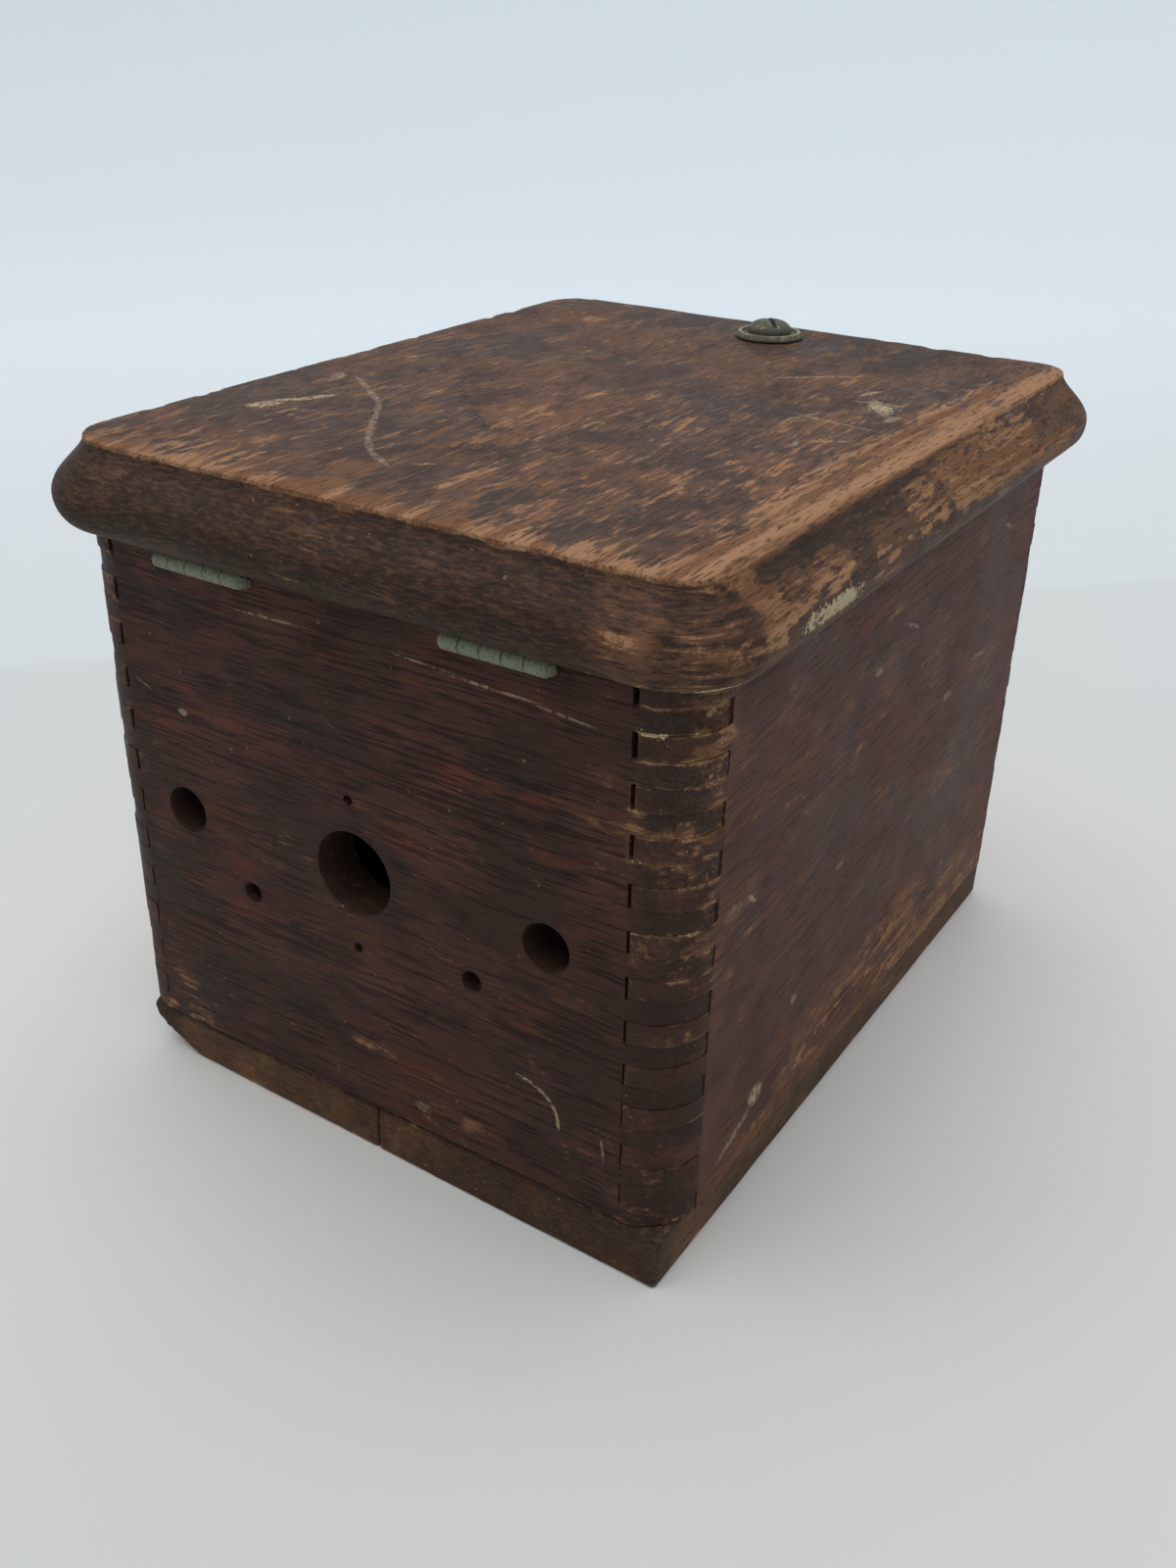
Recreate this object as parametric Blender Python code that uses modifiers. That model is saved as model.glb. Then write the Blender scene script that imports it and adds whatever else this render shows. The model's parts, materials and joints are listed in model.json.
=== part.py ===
"""Finger-jointed oak box with a hinged, moulded lid that one captive screw holds shut.

Lengths are in metres. +Z is up. The origin is on the ground, below the middle of the box. The front,
at -Y, is the wall with the hinges and the seven holes.
"""

import math

import bmesh
import bpy
from mathutils import Matrix, Vector

MM = 0.001
INCH = 25.4 * MM
CLEAR = 0.3 * MM  # left between pieces that touch

# Box walls: 24 fingers of a quarter of an inch make the height
FINGER = INCH / 4
FINGERS = 24
WALL_H = FINGERS * FINGER
WALL_W = 190 * MM
WALL_D = 239 * MM
WALL_T = 14.5 * MM
CORNER_R = 16 * MM
ARC_STEPS = 5
# How far the joints have opened at the top, at each upright corner. They are tight at the bottom
OPENED_NEAR_RIGHT = 1.4 * MM
OPENED_NEAR_LEFT = 1.2 * MM
OPENED_FAR = 0.8 * MM

# Base: two boards side by side, their ends cut a little out of square
BASE_T = 15.9 * MM
BASE_LEFT_X = -90.4 * MM
BASE_RIGHT_X = 92.7 * MM
BASE_FRONT_Y = -118.6 * MM
BASE_BACK_Y = 113.4 * MM
BASE_JOINT_X = 0.0
BASE_FRONT_SLANT_LEFT = -1.6 * MM  # how far the foot of the front end stands out, at its left end
BASE_FRONT_SLANT_RIGHT = 2.2 * MM  # and at its right end
# Flats worn off its lower left front corner: how far each runs across, back and up
WORN_FLATS = ((19 * MM, 34 * MM, 9.5 * MM), (9 * MM, 20 * MM, 14.5 * MM))
SEAM_FLAT = 2.4 * MM  # width of the flat that eases the left board's edge at the seam

# Lid: a flat top inside an ogee, all of it one board
LID_T = 23 * MM
LID_ARRIS_R = 14 * MM  # plan radius of the flat top, whose straight sides lie over the walls' faces
LID_FILLET = 0.7 * MM
LID_OVERHANG = 9.5 * MM
LID_NOSE_H = 8.0 * MM  # the widest line, above the underside
LID_LIP = 3.7 * MM  # the underside's flat reaches this far past the walls
OGEE_POWER = 0.84
OGEE_STEPS = 9
NOSE_STEPS = 6
LID_ARC_STEPS = 7

# Holes in the front wall: x, height above the base, diameter
HOLES = {
    "big": (-2.7 * MM, 75.4 * MM, 24.1 * MM),
    "post_left": (-62.3 * MM, 75.4 * MM, 13.5 * MM),
    "post_right": (57.3 * MM, 75.4 * MM, 13.5 * MM),
    "lead_left": (-39.9 * MM, 56.4 * MM, 6.1 * MM),
    "lead_right": (34.7 * MM, 56.4 * MM, 6.1 * MM),
    "pin_upper": (-3.3 * MM, 96.8 * MM, 2.9 * MM),
    "pin_lower": (-2.5 * MM, 52.4 * MM, 2.9 * MM),
}

# Butt hinges, both leaves let into the top of the front wall
HINGE_X = 45 * MM
HINGE_L = 29.7 * MM
KNUCKLES = 5
KNUCKLE_R = 2.3 * MM
KNUCKLE_CLEAR = 0.12 * MM
PIN_R = 1.05 * MM
PIN_BORE_R = 1.13 * MM
PIN_HEAD_R = 1.5 * MM
LEAF_T = 2.1 * MM
LEAF_DEPTH = 11.5 * MM
LEAF_SCREW_SPREAD = 17 * MM
LEAF_SCREW_Y = 6.6 * MM  # behind the wall's outer face

# Captive screw through the lid, its cup washer and its collar
SCREW_Y = 99.0 * MM
SCREW_X = -1.5 * MM
SCREW_R = 3.0 * MM
SCREW_HEAD_R = 7.2 * MM
SCREW_HEAD_H = 4.6 * MM
SCREW_REACH = 9.5 * MM  # below the lid
SCREW_PITCH = INCH / 20
SCREW_TURNS = 5
SCREW_TRAVEL = SCREW_TURNS * SCREW_PITCH
CUP_R = 11.3 * MM
CUP_RIM_H = 2.3 * MM
CUP_FLOOR_H = 1.1 * MM
COLLAR_R = 5.2 * MM
COLLAR_BORE_R = 2.62 * MM
COLLAR_T = 1.0 * MM
COLLAR_SEAT = 0.9 * MM  # the collar's underside, above the lid's underside
GROOVE_R = 2.4 * MM

# Wood screws
HEAD_EDGE = 0.25 * MM
HOLE_CLEAR = 0.2 * MM
HOLE_RISE = 6 * MM
SCREW_STEPS = 12

# Angle bracket inside the far wall, which the captive screw threads into
BRACKET_W = 26 * MM
BRACKET_T = 1.6 * MM
BRACKET_LEG = 24 * MM
BRACKET_FLANGE = 14 * MM
BRACKET_DROP = 4.0 * MM  # flange top, below the lid

# Heights
WALL_Z = BASE_T + CLEAR
WALL_TOP_Z = WALL_Z + WALL_H
LID_Z = WALL_TOP_Z + CLEAR
LID_TOP_Z = LID_Z + LID_T
FRONT_Y = -WALL_D / 2
BACK_Y = WALL_D / 2
HINGE_Y = FRONT_Y - KNUCKLE_R - CLEAR
HINGE_Z = LID_Z - KNUCKLE_R - CLEAR

OAK = (0.085, 0.032, 0.02, 1.0)
OAK_BASE = (0.10, 0.052, 0.03, 1.0)
VERDIGRIS = (0.33, 0.34, 0.28, 1.0)
OLD_BRASS = (0.20, 0.18, 0.12, 1.0)
OLD_STEEL = (0.12, 0.10, 0.09, 1.0)


# ---------------------------------------------------------------- scene and materials


def clear_scene():
    for obj in list(bpy.data.objects):
        bpy.data.objects.remove(obj, do_unlink=True)


def new_collection(name, parent):
    collection = bpy.data.collections.new(name)
    parent.children.link(collection)
    return collection


def new_material(name, color, roughness, metallic):
    material = bpy.data.materials.new(name)
    material.use_nodes = True
    shader = material.node_tree.nodes["Principled BSDF"]
    shader.inputs["Base Color"].default_value = color
    shader.inputs["Roughness"].default_value = roughness
    shader.inputs["Metallic"].default_value = metallic
    return material


clear_scene()
PARTS = new_collection("finger_jointed_box", bpy.context.scene.collection)
CUTTERS = new_collection("cutters", bpy.context.scene.collection)


def link(obj, collection, material=None):
    collection.objects.link(obj)
    if material:
        obj.data.materials.append(material)
    return obj


def new_part(name, mesh, material):
    obj = link(bpy.data.objects.new(name, mesh), PARTS)
    if material:
        mesh.materials.append(new_material(name, *material))
    return obj


def cutter_set(name):
    """A collection of cutters for one part, out of the render and drawn as wires."""
    return new_collection("cut_" + name, CUTTERS)


def as_cutter(obj):
    obj.hide_render = True
    obj.display_type = "WIRE"
    return obj


def new_cutter(name, mesh, collection):
    return as_cutter(link(bpy.data.objects.new(name, mesh), collection))


def cut_with(obj, collection):
    cut = obj.modifiers.new("cut", "BOOLEAN")
    cut.operation = "DIFFERENCE"
    cut.operand_type = "COLLECTION"
    cut.collection = collection
    cut.solver = "EXACT"


def join_with(obj, collection):
    join = obj.modifiers.new("join", "BOOLEAN")
    join.operation = "UNION"
    join.operand_type = "COLLECTION"
    join.collection = collection
    join.solver = "EXACT"


# ---------------------------------------------------------------- shapes


def box_mesh(name, low, high):
    """A box between two corners."""
    low, high = Vector(low), Vector(high)
    bm = bmesh.new()
    bmesh.ops.create_cube(bm, size=1.0)
    bmesh.ops.scale(bm, vec=high - low, verts=bm.verts)
    bmesh.ops.translate(bm, vec=(low + high) / 2, verts=bm.verts)
    mesh = bpy.data.meshes.new(name)
    bm.to_mesh(mesh)
    bm.free()
    return mesh


def rod_mesh(name, start, end, radius, sides):
    """A straight round rod from start to end."""
    start, end = Vector(start), Vector(end)
    along = end - start
    turn = along.to_track_quat("Z", "Y").to_matrix().to_4x4()
    place = Matrix.Translation((start + end) / 2) @ turn
    bm = bmesh.new()
    bmesh.ops.create_cone(
        bm, cap_ends=True, segments=sides, radius1=radius, radius2=radius, depth=along.length
    )
    bmesh.ops.transform(bm, matrix=place, verts=bm.verts)
    mesh = bpy.data.meshes.new(name)
    bm.to_mesh(mesh)
    bm.free()
    return mesh


def plate_mesh(name, outline, thickness):
    """A flat outline in X and Y made a solid from z = 0 to its thickness."""
    curve = bpy.data.curves.new(name, "CURVE")
    curve.dimensions = "2D"
    curve.fill_mode = "BOTH"
    curve.extrude = thickness / 2
    spline = curve.splines.new("POLY")
    spline.points.add(len(outline) - 1)
    for point, (x, y) in zip(spline.points, outline):
        point.co = (x, y, 0, 1)
    spline.use_cyclic_u = True
    shape = link(bpy.data.objects.new(name + "_outline", curve), CUTTERS)
    evaluated = shape.evaluated_get(bpy.context.evaluated_depsgraph_get())
    mesh = bpy.data.meshes.new_from_object(evaluated)
    bpy.data.objects.remove(shape, do_unlink=True)
    bm = bmesh.new()
    bm.from_mesh(mesh)
    bmesh.ops.remove_doubles(bm, verts=bm.verts, dist=1e-6)
    bmesh.ops.translate(bm, vec=(0, 0, thickness / 2), verts=bm.verts)
    bmesh.ops.recalc_face_normals(bm, faces=bm.faces)
    bm.to_mesh(mesh)
    bm.free()
    return mesh


def turned(name, profile, steps, collection):
    """A profile of (radius, height) points, listed from top to bottom, turned about Z."""
    mesh = bpy.data.meshes.new(name)
    points = [(radius, 0, height) for radius, height in profile]
    mesh.from_pydata(points, [(i, i + 1) for i in range(len(points) - 1)], [])
    obj = link(bpy.data.objects.new(name, mesh), collection)
    screw = obj.modifiers.new("turn", "SCREW")
    screw.axis = "Z"
    screw.steps = steps
    screw.render_steps = steps
    screw.use_merge_vertices = True
    screw.merge_threshold = 1e-6
    screw.use_smooth_shade = False
    return obj


def arc(center, radius, start_deg, end_deg, steps):
    """Points along an arc, its two ends included."""
    found = []
    for i in range(steps + 1):
        angle = math.radians(start_deg + (end_deg - start_deg) * i / steps)
        found.append((center[0] + radius * math.cos(angle), center[1] + radius * math.sin(angle)))
    return found


# ---------------------------------------------------------------- screws


def wood_screw_profile(head_r, shank_r, length):
    """A countersunk screw, its head's flat top at z = 0."""
    return [
        (0, 0),
        (head_r, 0),
        (head_r, -HEAD_EDGE),
        (shank_r, -HEAD_EDGE - (head_r - shank_r)),
        (shank_r, -0.55 * length),
        (0.35 * shank_r, -length),
        (0, -length),
    ]


def screw_hole_profile(head_r, shank_r, length):
    """The hole for that screw: a little wider and deeper, and carried up out of the surface."""
    grown = [
        (radius + HOLE_CLEAR if radius else 0, height)
        for radius, height in wood_screw_profile(head_r, shank_r, length + HOLE_CLEAR)
    ]
    return [(0, HOLE_RISE), (grown[1][0], HOLE_RISE)] + grown[2:]


def slot_cutter(name, width, depth, reach, collection):
    """A driver's slot along local X, cut down from z = 0."""
    mesh = box_mesh(name, (-reach, -width / 2, -depth), (reach, width / 2, reach))
    return new_cutter(name, mesh, collection)


def aim(obj, place, direction, twist=0.0):
    """Stands obj at place with its local +Z along direction."""
    turn = Vector(direction).to_track_quat("Z", "Y").to_matrix().to_4x4()
    obj.matrix_world = Matrix.Translation(place) @ turn @ Matrix.Rotation(twist, 4, "Z")


def wood_screw(name, size, place, direction, twist, material):
    """A slotted wood screw with the top of its head at place, facing direction."""
    head_r, shank_r, length = size
    screw = turned(name, wood_screw_profile(head_r, shank_r, length), SCREW_STEPS, PARTS)
    screw.data.materials.append(new_material(name, *material))
    cuts = cutter_set(name)
    slot = slot_cutter(name + "_slot", head_r * 0.28, head_r * 0.36, head_r * 1.5, cuts)
    cut_with(screw, cuts)
    for obj in (screw, slot):
        aim(obj, place, direction, twist)
    return screw


def screw_hole(name, size, place, direction, collections):
    """The hole that a wood screw needs, cut out of each part that it passes through."""
    head_r, shank_r, length = size
    profile = screw_hole_profile(head_r, shank_r, length)
    for collection in collections:
        hole = as_cutter(turned(name + "_hole", profile, SCREW_STEPS, collection))
        aim(hole, place, direction)


# ---------------------------------------------------------------- walls


def opening_at(z, opened):
    """How far a corner joint has opened at height z above the wall's foot."""
    return opened * max(0.0, z / WALL_H) ** 1.5


def wall_outline(length):
    """The board from above: outer face on y = 0, with both outer corners rounded."""
    half = length / 2
    stop = math.degrees(math.asin((WALL_T - CORNER_R) / CORNER_R))
    right = arc((half - CORNER_R, CORNER_R), CORNER_R, -90, stop, ARC_STEPS)
    left = [(-x, y) for x, y in reversed(right)]
    return right + left


def shear_ends(mesh, length, opened_left, opened_right):
    """Draws the top of each end in, by the amount that its joint has opened there."""
    start = length / 2 - WALL_T * 1.5
    for vertex in mesh.vertices:
        if vertex.co.z < WALL_H / 2 or abs(vertex.co.x) < start:
            continue
        opened = opened_right if vertex.co.x > 0 else opened_left
        vertex.co.x -= math.copysign(opened, vertex.co.x)


def notch_cutters(name, length, keep_even, opened_left, opened_right, collection):
    """Boxes that leave the fingers: this board keeps every other one, from the foot or the next."""
    half = length / 2
    beyond = 10 * MM
    for index in range(FINGERS):
        if (index % 2 == 0) == keep_even:
            continue
        low = index * FINGER - CLEAR / 2
        high = (index + 1) * FINGER + CLEAR / 2
        if index == FINGERS - 1:
            high += beyond
        for side, opened in ((-1, opened_left), (1, opened_right)):
            root = half - WALL_T - CLEAR - opening_at((index + 0.5) * FINGER, opened)
            xs = sorted((side * root, side * (half + beyond)))
            low_corner = (xs[0], -beyond, low - beyond if index == 0 else low)
            mesh = box_mesh(name, low_corner, (xs[1], WALL_T + beyond, high))
            new_cutter(f"{name}_notch_{index}", mesh, collection)


def wall(name, length, keep_even, opened_left, opened_right, place, turn):
    """One wall board. Its cutters share its place, so that they are laid out in its own frame."""
    mesh = plate_mesh(name, wall_outline(length), WALL_H)
    shear_ends(mesh, length, opened_left, opened_right)
    board = new_part(name, mesh, (OAK, 0.6, 0.0))
    cuts = cutter_set(name)
    notch_cutters(name, length, keep_even, opened_left, opened_right, cuts)
    frame = Matrix.Translation(place) @ Matrix.Rotation(turn, 4, "Z")
    board.matrix_world = frame
    for cutter in cuts.objects:
        cutter.matrix_world = frame
    cut_with(board, cuts)
    return board, cuts


FRONT_WALL, FRONT_CUTS = wall(
    "front_wall", WALL_W, True, OPENED_NEAR_LEFT, OPENED_NEAR_RIGHT, (0, FRONT_Y, WALL_Z), 0
)
BACK_WALL, BACK_CUTS = wall(
    "back_wall", WALL_W, True, OPENED_FAR, OPENED_FAR, (0, BACK_Y, WALL_Z), math.pi
)
RIGHT_WALL, RIGHT_CUTS = wall(
    "right_wall",
    WALL_D,
    False,
    OPENED_NEAR_RIGHT,
    OPENED_FAR,
    (WALL_W / 2, 0, WALL_Z),
    math.pi / 2,
)
LEFT_WALL, LEFT_CUTS = wall(
    "left_wall",
    WALL_D,
    False,
    OPENED_FAR,
    OPENED_NEAR_LEFT,
    (-WALL_W / 2, 0, WALL_Z),
    -math.pi / 2,
)


def drill_front_wall():
    for name, (x, height, diameter) in HOLES.items():
        sides = 24 if diameter > 10 * MM else 12
        z = WALL_Z + height
        start = (x, FRONT_Y - 5 * MM, z)
        end = (x, FRONT_Y + WALL_T + 5 * MM, z)
        new_cutter("hole_" + name, rod_mesh(name, start, end, diameter / 2, sides), FRONT_CUTS)


drill_front_wall()


# ---------------------------------------------------------------- base


def base_board(name, x_left, x_right):
    """A board of the base, its front end leaning as the saw left it."""
    mesh = box_mesh(name, (x_left, BASE_FRONT_Y, 0), (x_right, BASE_BACK_Y, BASE_T))
    for vertex in mesh.vertices:
        if vertex.co.z > BASE_T / 2 or vertex.co.y > 0:
            continue
        share = (vertex.co.x - BASE_LEFT_X) / (BASE_RIGHT_X - BASE_LEFT_X)
        slant = BASE_FRONT_SLANT_LEFT + share * (BASE_FRONT_SLANT_RIGHT - BASE_FRONT_SLANT_LEFT)
        vertex.co.y -= slant
    return new_part(name, mesh, (OAK_BASE, 0.75, 0.0)), cutter_set(name)


BASE_LEFT, BASE_LEFT_CUTS = base_board("base_board_left", BASE_LEFT_X, BASE_JOINT_X - CLEAR / 2)
BASE_RIGHT, BASE_RIGHT_CUTS = base_board(
    "base_board_right", BASE_JOINT_X + CLEAR / 2, BASE_RIGHT_X
)


def ease_seam():
    """Takes the sharp upper edge off the left board at the seam."""
    mesh = box_mesh("seam_flat", (-SEAM_FLAT, -WALL_D, 0), (SEAM_FLAT, WALL_D, 2 * SEAM_FLAT))
    flat = new_cutter("seam_flat", mesh, BASE_LEFT_CUTS)
    edge = Matrix.Translation((BASE_JOINT_X - CLEAR / 2, 0, BASE_T))
    tilt = Matrix.Rotation(math.radians(45), 4, "Y")
    flat.matrix_world = edge @ tilt @ Matrix.Translation((0, 0, -SEAM_FLAT / 2))


def knock_off_corner():
    """Flats where the lower left front corner of the base has been worn away."""
    corner = Vector((BASE_LEFT_X, BASE_FRONT_Y, 0))
    size = 60 * MM
    for index, (across, back, up) in enumerate(WORN_FLATS):
        a = corner + Vector((across, 0, 0))
        b = corner + Vector((0, back, 0))
        c = corner + Vector((0, 0, up))
        normal = (b - a).cross(c - a).normalized()
        if normal.dot(corner - a) < 0:
            normal = -normal
        middle = (a + b + c) / 3 + normal * size / 2
        mesh = box_mesh("worn", (-size / 2,) * 3, (size / 2,) * 3)
        flat = new_cutter(f"worn_corner_{index}", mesh, BASE_LEFT_CUTS)
        aim(flat, middle, normal)


ease_seam()
knock_off_corner()

BASE_SCREW = (4.2 * MM, 2.1 * MM, 30 * MM)


def fix_base():
    """Eight countersunk screws, up through the boards into the walls' lower edges."""
    inset = WALL_T / 2
    side_x = WALL_W / 2 - inset - 3.2 * MM
    front_y = FRONT_Y + inset + 1 * MM
    back_y = BACK_Y - inset - 3.8 * MM
    places = [
        (-55 * MM, front_y, BASE_LEFT_CUTS, FRONT_CUTS),
        (55 * MM, front_y, BASE_RIGHT_CUTS, FRONT_CUTS),
        (-55 * MM, back_y, BASE_LEFT_CUTS, BACK_CUTS),
        (55 * MM, back_y, BASE_RIGHT_CUTS, BACK_CUTS),
        (-side_x, -50 * MM, BASE_LEFT_CUTS, LEFT_CUTS),
        (-side_x, 50 * MM, BASE_LEFT_CUTS, LEFT_CUTS),
        (side_x, -50 * MM, BASE_RIGHT_CUTS, RIGHT_CUTS),
        (side_x, 50 * MM, BASE_RIGHT_CUTS, RIGHT_CUTS),
    ]
    for number, (x, y, board_cuts, wall_cuts) in enumerate(places, 1):
        place = (x, y, 0.6 * MM)
        name = f"base_screw_{number}"
        twist = math.radians(37 * number)
        wood_screw(name, BASE_SCREW, place, (0, 0, -1), twist, (OLD_STEEL, 0.6, 0.8))
        screw_hole(name, BASE_SCREW, place, (0, 0, -1), (board_cuts, wall_cuts))


fix_base()
cut_with(BASE_LEFT, BASE_LEFT_CUTS)
cut_with(BASE_RIGHT, BASE_RIGHT_CUTS)


# ---------------------------------------------------------------- lid


def lid_profile():
    """(offset past the walls, height above the underside), from the top's edge to the underside's."""
    profile = [(0.0, LID_T), (0.0, LID_T - LID_FILLET)]
    drop = LID_T - LID_FILLET - LID_NOSE_H
    for i in range(1, OGEE_STEPS + 1):
        share = i / OGEE_STEPS
        out = LID_OVERHANG * (1 - math.cos(math.pi * share**OGEE_POWER)) / 2
        profile.append((out, LID_T - LID_FILLET - drop * share))
    for i in range(1, NOSE_STEPS + 1):
        angle = math.pi / 2 * i / NOSE_STEPS
        out = LID_LIP + (LID_OVERHANG - LID_LIP) * math.cos(angle)
        profile.append((out, LID_NOSE_H * (1 - math.sin(angle))))
    return profile


def rounded_rectangle(half_x, half_y, radius, steps):
    """Corner arcs one after the other, counter-clockwise from the front right."""
    points = []
    for sx, sy, start in ((1, -1, -90), (1, 1, 0), (-1, 1, 90), (-1, -1, 180)):
        center = (sx * (half_x - radius), sy * (half_y - radius))
        points += arc(center, radius, start, start + 90, steps)
    return points


def lid_mesh(name):
    """The lid as a stack of outlines joined edge to edge, closed above and below."""
    bm = bmesh.new()
    loops = []
    for out, height in lid_profile():
        outline = rounded_rectangle(
            WALL_W / 2 + out, WALL_D / 2 + out, LID_ARRIS_R + out, LID_ARC_STEPS
        )
        ring = [bm.verts.new((x, y, LID_Z + height)) for x, y in outline]
        edges = [bm.edges.new((ring[i], ring[(i + 1) % len(ring)])) for i in range(len(ring))]
        loops.append(edges)
    for upper, lower in zip(loops, loops[1:]):
        bmesh.ops.bridge_loops(bm, edges=upper + lower)
    for loop in (loops[0], loops[-1]):
        bmesh.ops.edgeloop_fill(bm, edges=loop)
    bmesh.ops.recalc_face_normals(bm, faces=bm.faces)
    mesh = bpy.data.meshes.new(name)
    bm.to_mesh(mesh)
    bm.free()
    return mesh


LID = new_part("lid_panel", lid_mesh("lid_panel"), (OAK, 0.6, 0.0))
LID_CUTS = cutter_set("lid_panel")


# ---------------------------------------------------------------- hinges

LEAF_SCREW = (2.7 * MM, 1.35 * MM, 11 * MM)


def leaf(name, x, up, mine, material):
    """A leaf with its own knuckles. up is 1 for the lid's leaf and -1 for the wall's."""
    inner = HINGE_Z + up * CLEAR / 2
    outer = HINGE_Z + up * (CLEAR / 2 + LEAF_T)
    low, high = sorted((inner, outer))
    y_front, y_back = FRONT_Y + CLEAR / 2, FRONT_Y + LEAF_DEPTH
    ends = (x - HINGE_L / 2, x + HINGE_L / 2)
    mesh = box_mesh(name, (ends[0], y_front, low), (ends[1], y_back, high))
    obj = new_part(name, mesh, material)
    joins, cuts = cutter_set(name + "_join"), cutter_set(name)
    pitch = HINGE_L / KNUCKLES
    for index in mine:
        start = ends[0] + index * pitch + KNUCKLE_CLEAR / 2
        end = start + pitch - KNUCKLE_CLEAR
        axis = rod_mesh(name, (start, HINGE_Y, HINGE_Z), (end, HINGE_Y, HINGE_Z), KNUCKLE_R, 16)
        new_cutter(f"{name}_knuckle_{index}", axis, joins)
        web = box_mesh(name, (start, HINGE_Y + PIN_R, low), (end, y_front + 2 * MM, high))
        new_cutter(f"{name}_web_{index}", web, joins)
    reach = 3 * MM
    bore = rod_mesh(
        name, (ends[0] - reach, HINGE_Y, HINGE_Z), (ends[1] + reach, HINGE_Y, HINGE_Z), PIN_BORE_R, 12
    )
    new_cutter(name + "_bore", bore, cuts)
    join_with(obj, joins)
    return obj, cuts


def hinge(side, x):
    """One butt hinge: two leaves, the pin and four screws."""
    verdigris = (VERDIGRIS, 0.7, 0.5)
    name = "hinge_" + side
    wall_leaf, wall_leaf_cuts = leaf(name + "_wall_leaf", x, -1, (0, 2, 4), verdigris)
    lid_leaf, lid_leaf_cuts = leaf(name + "_lid_leaf", x, 1, (1, 3), verdigris)
    half = HINGE_L / 2
    for spread, letter in ((-1, "a"), (1, "b")):
        sx = x + spread * LEAF_SCREW_SPREAD / 2
        wall_place = (sx, FRONT_Y + LEAF_SCREW_Y, HINGE_Z - CLEAR / 2 - 0.1 * MM)
        lid_place = (sx, FRONT_Y + LEAF_SCREW_Y, HINGE_Z + CLEAR / 2 + 0.1 * MM)
        twist = math.radians(23 if spread > 0 else -50)
        for part, place, up, targets in (
            ("wall", wall_place, 1, (wall_leaf_cuts, FRONT_CUTS)),
            ("lid", lid_place, -1, (lid_leaf_cuts, LID_CUTS)),
        ):
            screw_name = f"{name}_{part}_screw_{letter}"
            wood_screw(screw_name, LEAF_SCREW, place, (0, 0, up), twist, verdigris)
            screw_hole(screw_name, LEAF_SCREW, place, (0, 0, up), targets)
    cut_with(wall_leaf, wall_leaf_cuts)
    cut_with(lid_leaf, lid_leaf_cuts)
    mortise = box_mesh(
        name,
        (x - half - CLEAR, FRONT_Y - 5 * MM, HINGE_Z - LEAF_T - 1.5 * CLEAR),
        (x + half + CLEAR, FRONT_Y + LEAF_DEPTH + CLEAR, WALL_TOP_Z + 5 * MM),
    )
    new_cutter(name + "_mortise", mortise, FRONT_CUTS)
    pin = turned(
        name + "_pin",
        [
            (0, half + 0.5 * MM),
            (PIN_HEAD_R * 0.7, half + 0.45 * MM),
            (PIN_HEAD_R, half + 0.1 * MM),
            (PIN_R, half + 0.08 * MM),
            (PIN_R, -half - 0.1 * MM),
            (PIN_R * 0.7, -half - 0.4 * MM),
            (0, -half - 0.4 * MM),
        ],
        12,
        PARTS,
    )
    pin.data.materials.append(new_material(name + "_pin", *verdigris))
    aim(pin, (x, HINGE_Y, HINGE_Z), (1, 0, 0))


hinge("left", -HINGE_X)
hinge("right", HINGE_X)


# ---------------------------------------------------------------- captive screw


def cover_screw():
    """A dome-headed, slotted machine screw with a groove for its collar."""
    seat = CUP_FLOOR_H + CLEAR
    head_edge = seat + SCREW_HEAD_H * 0.3
    profile = [(0, seat + SCREW_HEAD_H)]
    for i in range(1, 6):
        angle = math.pi / 2 * i / 5
        radius = SCREW_HEAD_R * math.sin(angle)
        profile.append((radius, head_edge + SCREW_HEAD_H * 0.7 * math.cos(angle)))
    groove_top = -LID_T + COLLAR_SEAT + COLLAR_T + 0.15 * MM
    groove_foot = -LID_T + COLLAR_SEAT - 0.15 * MM
    profile += [
        (SCREW_HEAD_R * 0.93, seat),
        (SCREW_R, seat),
        (SCREW_R, groove_top),
        (GROOVE_R, groove_top),
        (GROOVE_R, groove_foot),
        (SCREW_R, groove_foot),
        (SCREW_R, -LID_T - SCREW_REACH + 1 * MM),
        (SCREW_R - 1 * MM, -LID_T - SCREW_REACH),
        (0, -LID_T - SCREW_REACH),
    ]
    screw = turned("cover_screw", profile, 24, PARTS)
    screw.data.materials.append(new_material("cover_screw", OLD_BRASS, 0.45, 0.9))
    cuts = cutter_set("cover_screw")
    slot = slot_cutter("cover_slot", 1.6 * MM, 2.2 * MM, 12 * MM, cuts)
    cut_with(screw, cuts)
    screw.location = (SCREW_X, SCREW_Y, LID_TOP_Z)
    slot.location = (SCREW_X, SCREW_Y, LID_TOP_Z + seat + SCREW_HEAD_H)
    slot.rotation_euler = (0, 0, math.radians(75))


def cup_washer():
    """A dished washer with a raised, rounded rim, flat underneath."""
    rim = 1.5 * MM
    foot = CLEAR
    profile = [(CUP_R - 2 * rim - 0.4 * MM, CUP_FLOOR_H)]
    for x, y in arc((CUP_R - rim, CUP_RIM_H - rim), rim, 150, 0, 6):
        profile.append((x, y))
    profile += [(CUP_R, foot), (SCREW_R + 0.6 * MM, foot), (SCREW_R + 0.6 * MM, CUP_FLOOR_H)]
    profile.append(profile[0])
    washer = turned("cup_washer", profile, 24, PARTS)
    washer.data.materials.append(new_material("cup_washer", OLD_BRASS, 0.5, 0.9))
    washer.location = (SCREW_X, SCREW_Y, LID_TOP_Z)


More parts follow.
